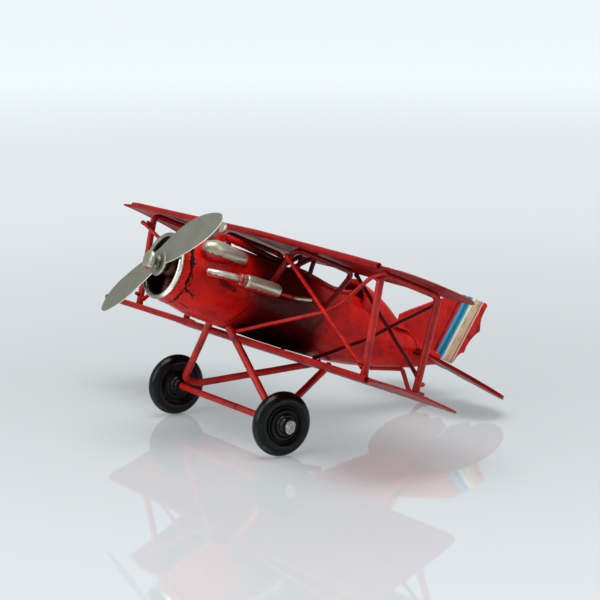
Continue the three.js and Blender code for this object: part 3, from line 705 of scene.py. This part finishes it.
def build_fuselage():
    sides = 160
    inner = [oval(FUSELAGE, 66 - 97.5 * k / 60, -SHEET, sides) for k in range(61)]
    mouth = [
        oval(FUSELAGE, SHELL_FRONT_Y, -SHEET, sides, lambda turn: ragged_front(turn) + 0.02),
        oval(FUSELAGE, SHELL_FRONT_Y, -0.05, sides, ragged_front),
    ]
    outer = [oval(FUSELAGE, -30 + (SHELL_REAR_Y + 30) * (k / 96), 0, sides) for k in range(97)]
    for ring in outer:
        for v in ring:
            v += (v - Vector((0, v.y, 35))).normalized() * 0.1 * noise.noise(v * 0.13)
    tail = [oval(FUSELAGE, SHELL_REAR_Y, -0.35, sides, lambda turn: SHELL_REAR_Y + 0.2)]
    shell = loft(inner + mouth + outer + tail)
    prism = [[
        Vector((COCKPIT_HALF * math.cos(t), COCKPIT_Y + COCKPIT_REACH * math.sin(t), z)) for t in turns(72)
    ] for z in (38, 58)]
    shell = combined(shell, loft(prism), "DIFFERENCE")
    skin = red_paint("fuselage_red", fuselage_patina_and_belly_shade, 0.3, CRACKS, 0.2, torn=torn_nose_and_inner_shade, shine=0.11)
    make("fuselage_skin", shell, skin, ["fuselage_shell"])

    # The inside, then the softened front edge.
    deck_rings = [oval(TURTLEDECK, y, -SHEET, 96) for y in (58, 52, 46, 41, 37)]
    for y, grow in [(36, -1.3), (35.3, -1.55), (34.8, -1.3), (34.6, -0.7), (34.6, -0.1), (34.8, 0.15),
                    (35.4, 0.18), (36, 0.02)]:
        deck_rings.append(oval(TURTLEDECK, y, grow, 96))
    deck_rings += [oval(TURTLEDECK, 36.6 + k * 22.2 / 30, 0, 96) for k in range(31)]
    deck = loft(deck_rings)
    envelope = loft([oval(FUSELAGE, -33 + 112 * k / 60, 0.03, 96) for k in range(61)])
    deck = combined(deck, envelope, "DIFFERENCE")
    below = bmesh.new()
    bmesh.ops.create_cube(below, size=40, matrix=Matrix.Translation((0, 47, 18.8)))
    deck = combined(deck, below, "DIFFERENCE")
    make("turtledeck_skin", deck, RED_BODY, ["turtledeck"])


def build_cockpit():
    rim = []
    for k in range(65):
        turn = math.pi / 2 + 0.32 + (2 * math.pi - 0.64) * k / 64
        x = (COCKPIT_HALF + 0.2) * math.cos(turn)
        y = COCKPIT_Y + (COCKPIT_REACH + 0.1) * math.sin(turn)
        bottom, top, half = blend_table(FUSELAGE, y)
        z = (top + bottom) / 2 + (top - bottom) / 2 * math.sqrt(1 - (x / half) ** 2)
        rim.append((x, y, z + 0.55))
    coaming = wire(rim, 0.62, bend=0.1, sides=16, wander=0.1)
    make("coaming_skin", coaming, RED_WIRE, ["cockpit_coaming"])
    for name in ("cockpit_seat", "dashboard", "engine_backplate"):
        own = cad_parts[name].data
        own.materials.clear()
        own.materials.append(DARK_METAL)


# ---- nose ----


def build_cowling():
    def dented(turn, along):
        spot = Vector((math.cos(turn), math.sin(turn), along * 0.05))
        return 0.004 * noise.noise(spot * 1.5)

    front = COWL_FRONT_Y + 0.95
    rings = []
    # The band's section, with a tongue that reaches back inside the shell: radius, share of the
    # way from the front to the torn rear edge, and how far behind that.
    for radius, share, back in (
        (10.05, 0, 0), (10.35, 0.4, 0), (10.65, 0.8, 0), (10.78, 1, -0.12), (10.7, 1, 0), (9.94, 1, 0.02),
        (9.9, 1, 0.9), (9.72, 1, 0.9), (9.68, 1, 0), (9.4, 0, 0.4), (9.9, 0, -0.05),
    ):
        ring = []
        for turn in turns(160):
            rear = ragged_front(turn) - 0.28
            far = radius * (1 + dented(turn, 0))
            ring.append(Vector((far * math.cos(turn), front + (rear - front) * share + back,
                                NOSE_Z + far * math.sin(turn))))
        rings.append(ring)
    band = loft([*rings, rings[0]], caps=False)
    # The band's inside is painted dark: painted shade.
    make("cowl_band_skin", band, red_paint("band_red", dirt=0.3, lustre=0.22, torn=hollow), ["cowl_band"],
         angle=50)
    # The lip is lighter on the port side: a painted highlight.
    lip = [(9.8 + 0.74 * math.cos(t), COWL_FRONT_Y + 0.88 * math.sin(t)) for t in turns(20)]
    make("cowl_lip_skin", lathe(lip, (0, 0, NOSE_Z), 112, closed=True, wobble=dented),
         silver_paint("lip_silver", metal=0.85, rough=0.2, tone=srgb(150, 147, 131), mottle=0.3, dent=0.03,
                      painted_highlight=lambda p: p.step(p.x, 3, 7.5)),
         ["cowl_lip"])


def build_engine():
    front, rear = COWL_FRONT_Y + 0.6, ENGINE_REAR_Y
    case = [(1, front), (2.3, front), (2.7, front + 0.3), (3.3, front + 1.2), (3.45, front + 1.6),
            (3.3, front + 2), (3.4, rear), (1, rear)]
    centre = lathe(case, (0, 0, THRUST_Z), 48, closed=True)
    make("crankcase_skin", centre, ENGINE, ["engine_crankcase"])
    fins = [(0, 3.75), (1.3, 3.8)]
    for k in range(6):
        foot = 4.1 + 0.76 * k
        fins += [(1.25, foot), (1.8, foot + 0.1), (1.84, foot + 0.22), (1.8, foot + 0.34),
                 (1.25, foot + 0.44)]
    fins += [(1.25, 8.6), (0.9, 8.85), (0, 8.9)]
    for i in range(5):
        barrel = lathe(fins, steps=32)
        turn = Matrix.Rotation(math.pi / 2, 4, "X")
        around = Matrix.Rotation((i + 0.5) * 2 * math.pi / 5, 4, "Y")
        place = Matrix.Translation((0, (front + rear) / 2 + 0.6, THRUST_Z))
        bmesh.ops.transform(barrel, matrix=place @ around @ turn, verts=barrel.verts)
        make(f"cylinder_{i + 1}_skin", barrel, ENGINE, [f"engine_cylinder_{i + 1}"], angle=30)


PROPELLER_OUTLINE = [
    (0, 4.3), (8, 4.9), (16, 5.1), (23, 4), (29, 1.9), (33, -0.8), (32, -3), (26, -4.4), (18, -4.3),
    (9, -3.3), (0, -1.8), (-9, -3.1), (-18, -3.9), (-25, -3.5), (-30, -2.4), (-31.6, -0.2), (-28, 3),
    (-21, 4.7), (-9, 5),
]
BLADE_TILT = math.radians(35.5)
BLADE_TWIST = math.radians(5)


def blade_sheet():
    """The two blades: one sheet, twisted a little the opposite way on each side."""
    outline = curve_through(PROPELLER_OUTLINE, 12, closed=True)
    low_r, high_r = min(p.x for p in outline) + 0.01, max(p.x for p in outline) - 0.01
    rings = []
    for k in range(97):
        r = (low_r + high_r) / 2 - (high_r - low_r) / 2 * math.cos(math.pi * k / 96)
        crossings = []
        for a, b in zip(outline, outline[1:] + outline[:1]):
            if (a.x - r) * (b.x - r) < 0:
                crossings.append(a.y + (b.y - a.y) * (r - a.x) / (b.x - a.x))
        top, bottom = max(crossings), min(crossings)
        lean = max(-1, min(1, r / 8)) * math.tan(BLADE_TWIST)
        ring = []
        for turn in turns(28):
            w = (top + bottom) / 2 + (top - bottom) / 2 * math.cos(turn) * (1 - 0.12 * math.sin(turn) ** 2)
            t = 0.3 * math.copysign(abs(math.sin(turn)) ** 0.35, math.sin(turn)) + w * lean
            t += 0.05 * noise.noise(Vector((r, w, 0)) * 0.2)
            ring.append((r, w, t))
        rings.append([Vector(p) for p in ring])
    sheet = loft(rings)
    turn = Matrix.Rotation(math.pi / 2, 4, "X") @ Matrix.Rotation(BLADE_TILT, 4, "Z")
    placed = Matrix.Translation((0, PROPELLER_Y, THRUST_Z)) @ turn
    bmesh.ops.transform(sheet, matrix=placed, verts=sheet.verts)
    return sheet


def build_propeller():
    at = (0, 0, THRUST_Z)
    y = PROPELLER_Y
    disc = [(0, y - 0.45), (3.95, y - 0.45), (4.15, y - 0.3), (4.2, y), (4.15, y + 0.3), (3.95, y + 0.45),
            (0, y + 0.45)]
    sheet = combined(blade_sheet(), lathe(disc, at, 64), "UNION")
    # The propeller's edges get a painted highlight.
    silver = silver_paint("propeller_silver", tone=srgb(146, 144, 130), metal=0.8, rough=0.34, mottle=0.2,
                          cut_edge_highlight=True)
    make("propeller_sheet", sheet, silver, ["propeller"], "propeller", angle=35)
    nut = []
    for k in range(5):
        foot = y - 0.75 - 0.28 * k
        nut += [(2.2 - 0.1 * k, foot), (2.3 - 0.1 * k, foot - 0.1), (2.1 - 0.1 * k, foot - 0.26)]
    nut = [(1, y - 0.75), *nut, (1, y - 2.05)]
    make("nut_skin", lathe(nut, at, 48, closed=True), BARE_STEEL, ["propeller_nut"],
         "propeller")
    rear = y - 2.85
    cap = [(0, rear - 1.6), (1.5, rear - 1.58), (2.3, rear - 1.45), (2.75, rear - 1.15), (2.95, rear - 0.7),
           (2.9, rear - 0.15), (2.7, rear), (0, rear)]
    scuff = silver_paint("cap_silver", lambda p: p.minus(34.0, p.z), metal=0.8, rough=0.28,
                         tone=srgb(170, 167, 152))
    make("cap_skin", lathe(cap, at, 64), scuff, ["propeller_cap"], "propeller")
    shaft = [(0, rear + 0.3), (0.9, rear + 0.3), (0.9, ENGINE_REAR_Y - 1), (0, ENGINE_REAR_Y - 1)]
    make("shaft_skin", lathe(shaft, at, 32), BARE_STEEL, ["propeller_shaft"], "propeller")


def build_fittings():
    bulge = curve_through([(0, -8.4, 0), (1.9, -7.6, 0), (3.1, -4.6, 0), (3, -1, 0), (2.3, 4, 0),
                           (1.85, 6.8, 0), (1.2, 7.8, 0), (0, 8, 0)], 6)
    blister = lathe([(max(p.x, 0), p.y) for p in bulge], steps=56)
    tilt = Matrix.Rotation(0.02, 4, "X") @ Matrix.Diagonal((1, 1, 1.05, 1))
    placed = Matrix.Translation((9.3, -22.2, 44.6)) @ tilt
    bmesh.ops.transform(blister, matrix=placed, verts=blister.verts)
    make_pair("cowl_blister", blister, silver_paint(
        "blister_silver", lambda p: p.minus(p.minus(41.9, p.times(p.y, 0.06)), p.z),
        tone=srgb(188, 182, 162), mottle=0.3, rough=0.28))

    pipe = wire([(12, -28.1, 37.7), (14, -25.6, 38), (14.6, -18.8, 38.4)], 1.25, 2, 28)
    make_pair("exhaust_pipe", pipe, silver_paint(
        "pipe_silver", lambda p: p.minus(37.6, p.z), tone=srgb(216, 213, 198), rough=0.22))
    collar = [(0, -18.8)]
    for k in range(2):
        foot = -18.7 + 1.1 * k
        collar += [(1.35, foot), (1.75, foot + 0.2), (1.85, foot + 0.5), (1.7, foot + 0.8),
                   (1.4, foot + 0.95)]
    collar.append((0, -16.4))
    make_pair("exhaust_collar", lathe(collar, (14.9, 0, 38.4), 40), silver_paint(
        "collar_silver", lambda p: p.minus(p.times(p.noise(1.2, 3), 5.0), 2.2)))
    drum = curve_through([(0, -16.3, 0), (1.7, -16.2, 0), (2.2, -15.3, 0), (2.27, -9.5, 0), (2.2, -4.6, 0),
                          (1.85, -3.5, 0), (0.9, -3.15, 0), (0, -3.15, 0)], 5)
    muffler = lathe([(max(p.x, 0), p.y) for p in drum], (15.2, 0, 38.3), 56)
    make_pair("exhaust_muffler", muffler, silver_paint(
        "muffler_silver", lambda p: p.minus(36.8, p.z), tone=srgb(208, 204, 184), mottle=0.3, rough=0.24))
    tail = wire([(15.2, -2.9, 37.8), (15, 3.2, 37.8), (14.8, 9.6, 38.8)], 0.68, 1.5, 20, swell=(1.25, 1))
    make_pair("exhaust_tailpipe", tail, silver_paint(
        "tailpipe_silver", lambda p: p.minus(3.0, p.y), tone=srgb(205, 196, 170)))

    block = bmesh.new()
    sized = Matrix.Translation((0, -19.6, 48.8)) @ Matrix.Diagonal((2.6, 2.4, 3.4, 1))
    bmesh.ops.create_cube(block, size=1, matrix=sized)
    bmesh.ops.bevel(block, geom=block.edges[:], offset=0.35, segments=3, affect="EDGES")
    gun_red = red_paint("gun_red", lambda p: p.step(p.y, -15, -3), dirt=0.5)
    make("gun_block_skin", block, gun_red, ["gun_block"])
    barrel = [(0, 0), (0.85, 0), (1.05, 0.3), (1.05, 4), (1.16, 4.3), (1.16, 5.2), (1.05, 5.5), (1.08, 16),
              (1, 24.2), (0.6, 24.5), (0, 24.5)]
    tube = lathe(barrel, steps=28)
    aimed = Vector((0, 24.5, -2.5)).normalized()
    aim = Vector((0, 1, 0)).rotation_difference(aimed).to_matrix().to_4x4()
    bmesh.ops.transform(tube, matrix=Matrix.Translation((0, -18.1, 50)) @ aim, verts=tube.verts)
    make("gun_barrel_skin", tube, gun_red, ["gun_barrel"])
    sight = lathe([(0, -20.3), (1.35, -20.3), (1.65, -20.15), (1.7, -19.9), (1.65, -19.55), (1.35, -19.4),
                   (0, -19.4)], (0, 0, 52.5), 40)
    silver = silver_paint("sight_silver", tone=srgb(190, 186, 172))
    make("gun_sight_skin", sight, silver, ["gun_sight"])


def build_windscreen():
    for side, points in {
        "port": [(5.6, 12.7, 45.6), (5.6, 12.9, 52.6), (5.6, 5, 46.4)],
        "starboard": [(-5.6, 15.2, 45.4), (-5.6, 15.6, 52.3), (-5.6, 8.6, 46.2)],
    }.items():
        make(f"windscreen_{side}_skin", wire(points, 0.76, 2, 16), RED_DARK, [f"windscreen_frame_{side}"])
    bridge = wire([(-5.4, 14.8, 51.1), (5.4, 12.5, 51.4)], 0.55, sides=16)
    make("windscreen_bridge_skin", bridge, RED_DARK, ["windscreen_bridge"])


# ---- wings ----

RIB_PITCH = 6.1


def wing_height(wing, x, y):
    """The middle of the sheet: cambered, bowed to port and curled down at the starboard tip."""
    part = (y - wing["lead"]) / (wing["trail"] - wing["lead"])
    down = wing["bend"] * max(0, x - BEND_X) / (HALF_SPAN - BEND_X)
    curled = wing["curl"] * (max(0, CURL_X - x) / (CURL_X + HALF_SPAN)) ** 1.2
    down += curled * (0.7 + 0.11 * max(0, y - wing["lead"]))
    return wing["z"] + 0.9 * part - 3.1 * part * part - down


def tip_inset(wing, y):
    """How far the tip's edge stands in from the half span, at y."""
    lead_round, trail_round = 1.2, wing["tip"]
    inset = 0.0
    if y < wing["lead"] + lead_round:
        t = 1 - (y - wing["lead"]) / lead_round
        inset = lead_round * (1 - math.sqrt(max(0, 1 - t * t)))
    if y > wing["trail"] - trail_round:
        t = (y - wing["trail"] + trail_round) / trail_round
        inset = trail_round * (1 - math.sqrt(max(0, 1 - t * t)))
    return inset


def wing_mesh(wing):
    """A thin cambered sheet with a raised rib every few millimetres, and a rolled leading edge."""
    chord, span, half_sheet = 44, 264, 0.3
    sections = []
    for i in range(chord + 1):
        y = wing["lead"] + 0.3 + (wing["trail"] - wing["lead"] - 0.3) * i / chord
        reach = HALF_SPAN - tip_inset(wing, y)
        upper, lower = [], []
        for k in range(span + 1):
            x = reach * (2 * k / span - 1)
            rib = max(0.0, 1 - abs((x / RIB_PITCH + 0.5) % 1 - 0.5) * RIB_PITCH / 0.55)
            fade = min(1, (i - 1) / 2, (chord - i) / 2) if 0 < i < chord else 0
            wave = 0.12 * noise.noise(Vector((x, y, wing["z"])) * 0.07) * fade
            edge = 0.35 if i == chord or k in (0, span) else 1
            z = wing_height(wing, x, y) + wave
            lift = 0.22 * rib * max(0, fade)
            upper.append(Vector((x, y, z + half_sheet * edge + lift)))
            lower.append(Vector((x, y, z - half_sheet * edge + lift * 0.9)))
        sections.append(upper + lower[::-1])
    sheet = loft(sections)
    roll = []
    wall = 0.35
    for outside in (True, False):
        for k in range(61) if outside else range(60, -1, -1):
            x = wing["roll"] * (2 * k / 60 - 1)
            radius = 1.0 if outside else 1.0 - wall
            centre = Vector((x, wing["lead"], wing_height(wing, x, wing["lead"])))
            centre.z += 0.05 * noise.noise(Vector((x, 0, wing["z"])) * 0.08)
            roll.append([centre + radius * Vector((0, math.cos(t), math.sin(t))) for t in turns(24)])
    roll.append(roll[0])
    rolled = loft(roll, caps=False)
    return merged(sheet, rolled)


def build_wings():
    for name, wing in (("upper_wing", UPPER), ("lower_wing", LOWER)):
        make(f"{name}_skin", wing_mesh(wing), RED_WING, [name], angle=50)


# ---- struts, wires and undercarriage ----

STRUT_X = 67


def build_struts():
    def at(wing, x, y, off):
        return (x, y, wing_height(wing, x, y) + off)

    for side, sign in (("port", 1), ("starboard", -1)):
        x = sign * STRUT_X
        frame_wire = wire([
            at(LOWER, x, -1.7, 0.4), at(UPPER, x, -6.2, -1.5),
            at(UPPER, x, 16.4, -1.5), at(LOWER, x, 18.2, 0.4),
        ], 1.15, 3, 24, swell=(1.12, 1.12), oval=0.96)
        knobs = [
            wire([(x, -5.8, 48.6), (x - sign * 0.6, -8.4, 49.4)], 0.6, sides=14),
            wire([(x, -2.6, 24.6), (x - sign * 0.4, -4.6, 24.9)], 0.65, sides=14),
            wire([(x, 18.6, 23.5), (x - sign * 0.4, 20.5, 23.7)], 0.7, sides=14),
            wire([(x, 18.2, 21.1), (x - sign * 0.4, 21.5, 20.9)], 0.6, sides=14),
        ]
        make(f"interplane_{side}_skin", merged(frame_wire, *knobs), RED_WIRE,
             [f"interplane_strut_{side}"])

    cabane = wire([
        (11.2, -4.1, 40.2), at(UPPER, 20.5, -5.4, -1.35), at(UPPER, 20.5, 18.2, -1.35), (11, 17.9, 36.7),
    ], 0.88, 3.2, 22, swell=(1.15, 1.1))
    make_pair("cabane_strut", cabane, RED_DARKER)

    inboard = STRUT_X - 1.8
    braces = {
        "brace_front_down": ([(19, -7.1, 49.6), (inboard, -1.9, 23.6)], RED_BRIGHT),
        "brace_front_up": ([
            (72, -8.5, 51.3), (65, -7.9, 49), (46.5, -2.1, 39.3), (40.3, -2.2, 36.1), (7.8, -9, 22.9),
        ], RED_WIRE),
        "brace_rear_down": ([(19.6, 20, 50.6), (inboard, 18.7, 25.5)], RED_DARK),
        "brace_rear_up": ([
            (inboard, 17.5, 47.3), (47.6, 21, 40.2), (33, 21, 31.7), (9, 21.3, 21.5),
        ], RED_DARK),
    }
    lower = [(69.4, -8.5, 48.9), (64, -7.9, 47.3), *braces["brace_front_up"][0][2:]]
    for name, (points, material) in braces.items():
        for side in ("port", "starboard"):
            line = lower if (name, side) == ("brace_front_up", "starboard") else points
            thread = wire(line, 0.62, 3, 16, swell=(1.3, 1.3), wander=0.12)
            make(f"{name}_{side}_skin", thread if side == "port" else mirrored(thread), material,
                 [f"{name}_{side}"])


def build_undercarriage():
    leg = wire([(5.6, -11, 23.4), (26.4, -1, 2.75), (25, 3.4, 2.45), (2.5, 32.4, 20.5)], 1.18, 2, 24,
               swell=(1.1, 1.0), oval=0.97)
    make_pair("landing_leg", leg, RED_WIRE)
    axle = wire([(-36.4, 0, 0), (36.4, 0, 0)], 1.05, sides=28, wander=0)
    make("axle_skin", axle, RED_WIRE, ["axle"])

    def tread(turn, along):
        """The tab left where the plastic entered the mould."""
        tab = math.exp(-(((turn - 3.6) / 0.05) ** 2) - ((abs(along) - 32) / 0.5) ** 2)
        return 0.022 * tab

    # The wheel's section, (radius, x): the inner rings, the tyre, the outer rings and the hub.
    section = [(1.15, 28.3), (2.0, 28.3), (2.2, 28.4), (2.45, 28.9), (2.75, 29.0), (3.1, 29.05),
               (3.3, 29.3), (3.6, 29.95), (4.1, 30.1), (4.5, 30.3), (4.7, 30.6), (5.0, 30.65),
               (5.2, 30.35), (5.6, 30.2), (5.9, 30.1)]
    for k in range(25):
        turn = math.pi * (1.2 - 1.42 * k / 24)
        section.append((7.55 + 2.43 * math.sin(turn), 32 + 2.5 * math.cos(turn)))
    section += [(5.95, 33.35), (5.75, 33.75), (5.5, 33.8), (5.3, 33.45), (5.05, 33.5), (4.85, 34.15),
                (4.5, 34.4), (4.05, 34.35), (3.85, 34.1), (3.6, 34.15), (3.4, 35.0), (3.1, 35.3),
                (2.7, 35.3), (2.55, 35.6), (2.3, 36.0), (1.9, 36.1), (1.15, 36.1)]
    for side, sign in (("port", 1), ("starboard", -1)):
        turned = [(radius, sign * x) for radius, x in section]
        wheel = lathe(turned, steps=120, axis="X", closed=True, wobble=tread)
        make(f"wheel_{side}_moulding", wheel, BLACK, [f"wheel_{side}"],
             f"wheel_{side}", angle=32)

    def peened(turn, along):
        spot = Vector((math.cos(turn), math.sin(turn), along))
        return 0.16 * noise.noise(spot * 1.2) + 0.05 * noise.noise(spot * 4) - 0.1 * math.cos(2 * turn)

    end = [(0, 36.5), (1.6, 36.5), (1.8, 36.8), (1.9, 37.1), (1.75, 37.45), (1.2, 37.6), (0.5, 37.7),
           (0, 37.7)]
    make_pair("axle_cap", lathe(end, steps=40, axis="X", wobble=peened), PEENED)


# ---- tail ----


def upright(y, z, across):
    """The middle plane of the body, slightly wavy."""
    return Vector((across + 0.12 * noise.noise(Vector((y, z, 0)) * 0.09), y, z))


def build_tail():
    fin = [(56.4, 38.6), (56.4, 43.4), (60, 45.9), (63.6, 48), (68, 50.7), (74, 54), (79.4, 56),
           (78.9, 54.6), (74.4, 35), (70, 34), (62, 35)]
    make("fin_skin", outline_plate(fin, 1.15, upright), RED_BODY, ["fin"])
    rudder = [
        (74.9, 35.2), (79.3, 54.6), (80.3, 56.2), (84.5, 56.25), (90.8, 55.8), (91.5, 55.1), (90.9, 53),
        (90.6, 51.5), (90.45, 50.3), (90.6, 49), (91.4, 46), (90.2, 44.8), (89.2, 43.4), (88.4, 41.9),
        (88, 40.8), (87.5, 39.4), (87.3, 37.4), (86, 36.9), (84.8, 35.4), (84.3, 34), (83.4, 32.6),
        (78.8, 33.2), (76.5, 33.6),
    ]
    make("rudder_skin", outline_plate(rudder, 1.5, upright), rudder_paint(), ["rudder"])

    lobe = []
    # The port lobe's outline: Bezier arcs, tip to tail and back to the root.
    for a, b, c, d in (
        ((1.4, 66), (8, 61), (18, 62), (25, 65)), ((25, 65), (31, 67.5), (34, 72), (34, 77)),
        ((34, 77), (34, 83), (28, 87.4), (20, 87.4)), ((20, 87.4), (16, 87.4), (13, 86.4), (12.4, 84.4)),
        ((12.4, 84.4), (9.6, 86.8), (7.2, 86.8), (4.6, 84.6)),
    ):
        for k in range(12):
            t = k / 12
            shares = (1 - t)**3, 3 * (1 - t)**2 * t, 3 * (1 - t) * t * t, t**3
            lobe.append(sum((share * Vector(p) for share, p in zip(shares, (a, b, c, d))), Vector((0, 0))))
    lobe += [Vector((4.6, 84.6)), Vector((1.4, 83.5))]
    middle = Vector((15, 75))

    def layer(side, inset, low, high):
        """One of the three layers that show at the edge of the folded sheet."""
        ring = [(middle + (p - middle) * (1 - inset / (p - middle).length)) for p in lobe]

        def to_space(x, y, across):
            height = 32.2 - 0.129 * side * x - 0.205 * (y - middle.y)
            return Vector((x, y, height + (low + high) / 2 + across))

        return outline_plate([(p.x, p.y) for p in ring], high - low, to_space, 0.12)

    for name, side in (("port", 1), ("starboard", -1)):
        sheet = merged(
            layer(side, 0, 0.12, 0.62), layer(side, 0.35, -0.2, 0.2), layer(side, 0, -0.62, -0.12))
        make(f"tailplane_{name}_skin", sheet if side == 1 else mirrored(sheet), RED_WING,
             [f"tailplane_{name}"])

    def ground(y):
        """The floor's height under y, in the tipped rigging frame."""
        return (y * math.sin(PITCH) - 10) / math.cos(PITCH)

    lift = 0.85 / math.cos(PITCH)
    skid = wire([
        (0, 51, 23.5), (0, 64, 26.1), (0, 69.4, ground(69.4) + lift + 4),
        (0, 74.8, ground(74.8) + lift), (0, 78, ground(78) + lift),
    ], 0.78, 1.6, 20, swell=(1.1, 1))
    make("tail_skid_skin", skid, RED_WIRE, ["tail_skid"])


RED_BODY = red_paint("body_red", dirt=0.45)
RED_WIRE = red_paint("wire_red", dirt=0.7, lustre=0.3, chips=1.2, shine=0.3,
                     tones=(srgb(186, 26, 20), srgb(168, 20, 16), srgb(108, 12, 13)))
RED_BRIGHT = red_paint("bright_red", dirt=0.25, lustre=0.22)
# A darker red, for the cabane struts.
RED_DARKER = red_paint("darker_red", dirt=0.7, chips=1.2, shine=0.3,
                       tones=(srgb(152, 18, 16), srgb(124, 13, 13), srgb(76, 8, 10)))
RED_DARK = red_paint("dark_red", dirt=0.6, lustre=0.22, shine=0.2,
                     tones=(srgb(116, 11, 12), srgb(98, 9, 10), srgb(56, 5, 7)))
RED_WING = red_paint("wing_red", chips=1.5, shine=0.08,
                     tones=(srgb(156, 20, 17), srgb(138, 17, 15), srgb(88, 15, 16)))
DARK_METAL = plain_metal("dark_metal", srgb(58, 22, 18), srgb(18, 8, 8), 0.4, 0.3)
ENGINE = plain_metal("engine_brown", srgb(104, 40, 30), srgb(40, 14, 12), 0.3, 0.45)
BARE_STEEL = plain_metal("bare_steel", srgb(150, 148, 138), srgb(84, 76, 62), 0.28, 0.85)
PEENED = plain_metal("peened_steel", srgb(205, 203, 196), srgb(120, 118, 110), 0.34, 0.6, 1.6, 0.5)
BLACK = wheel_plastic()

build_stage()
build_fuselage()
build_cockpit()
build_cowling()
build_engine()
build_propeller()
build_fittings()
build_windscreen()
build_wings()
build_struts()
build_undercarriage()
build_tail()
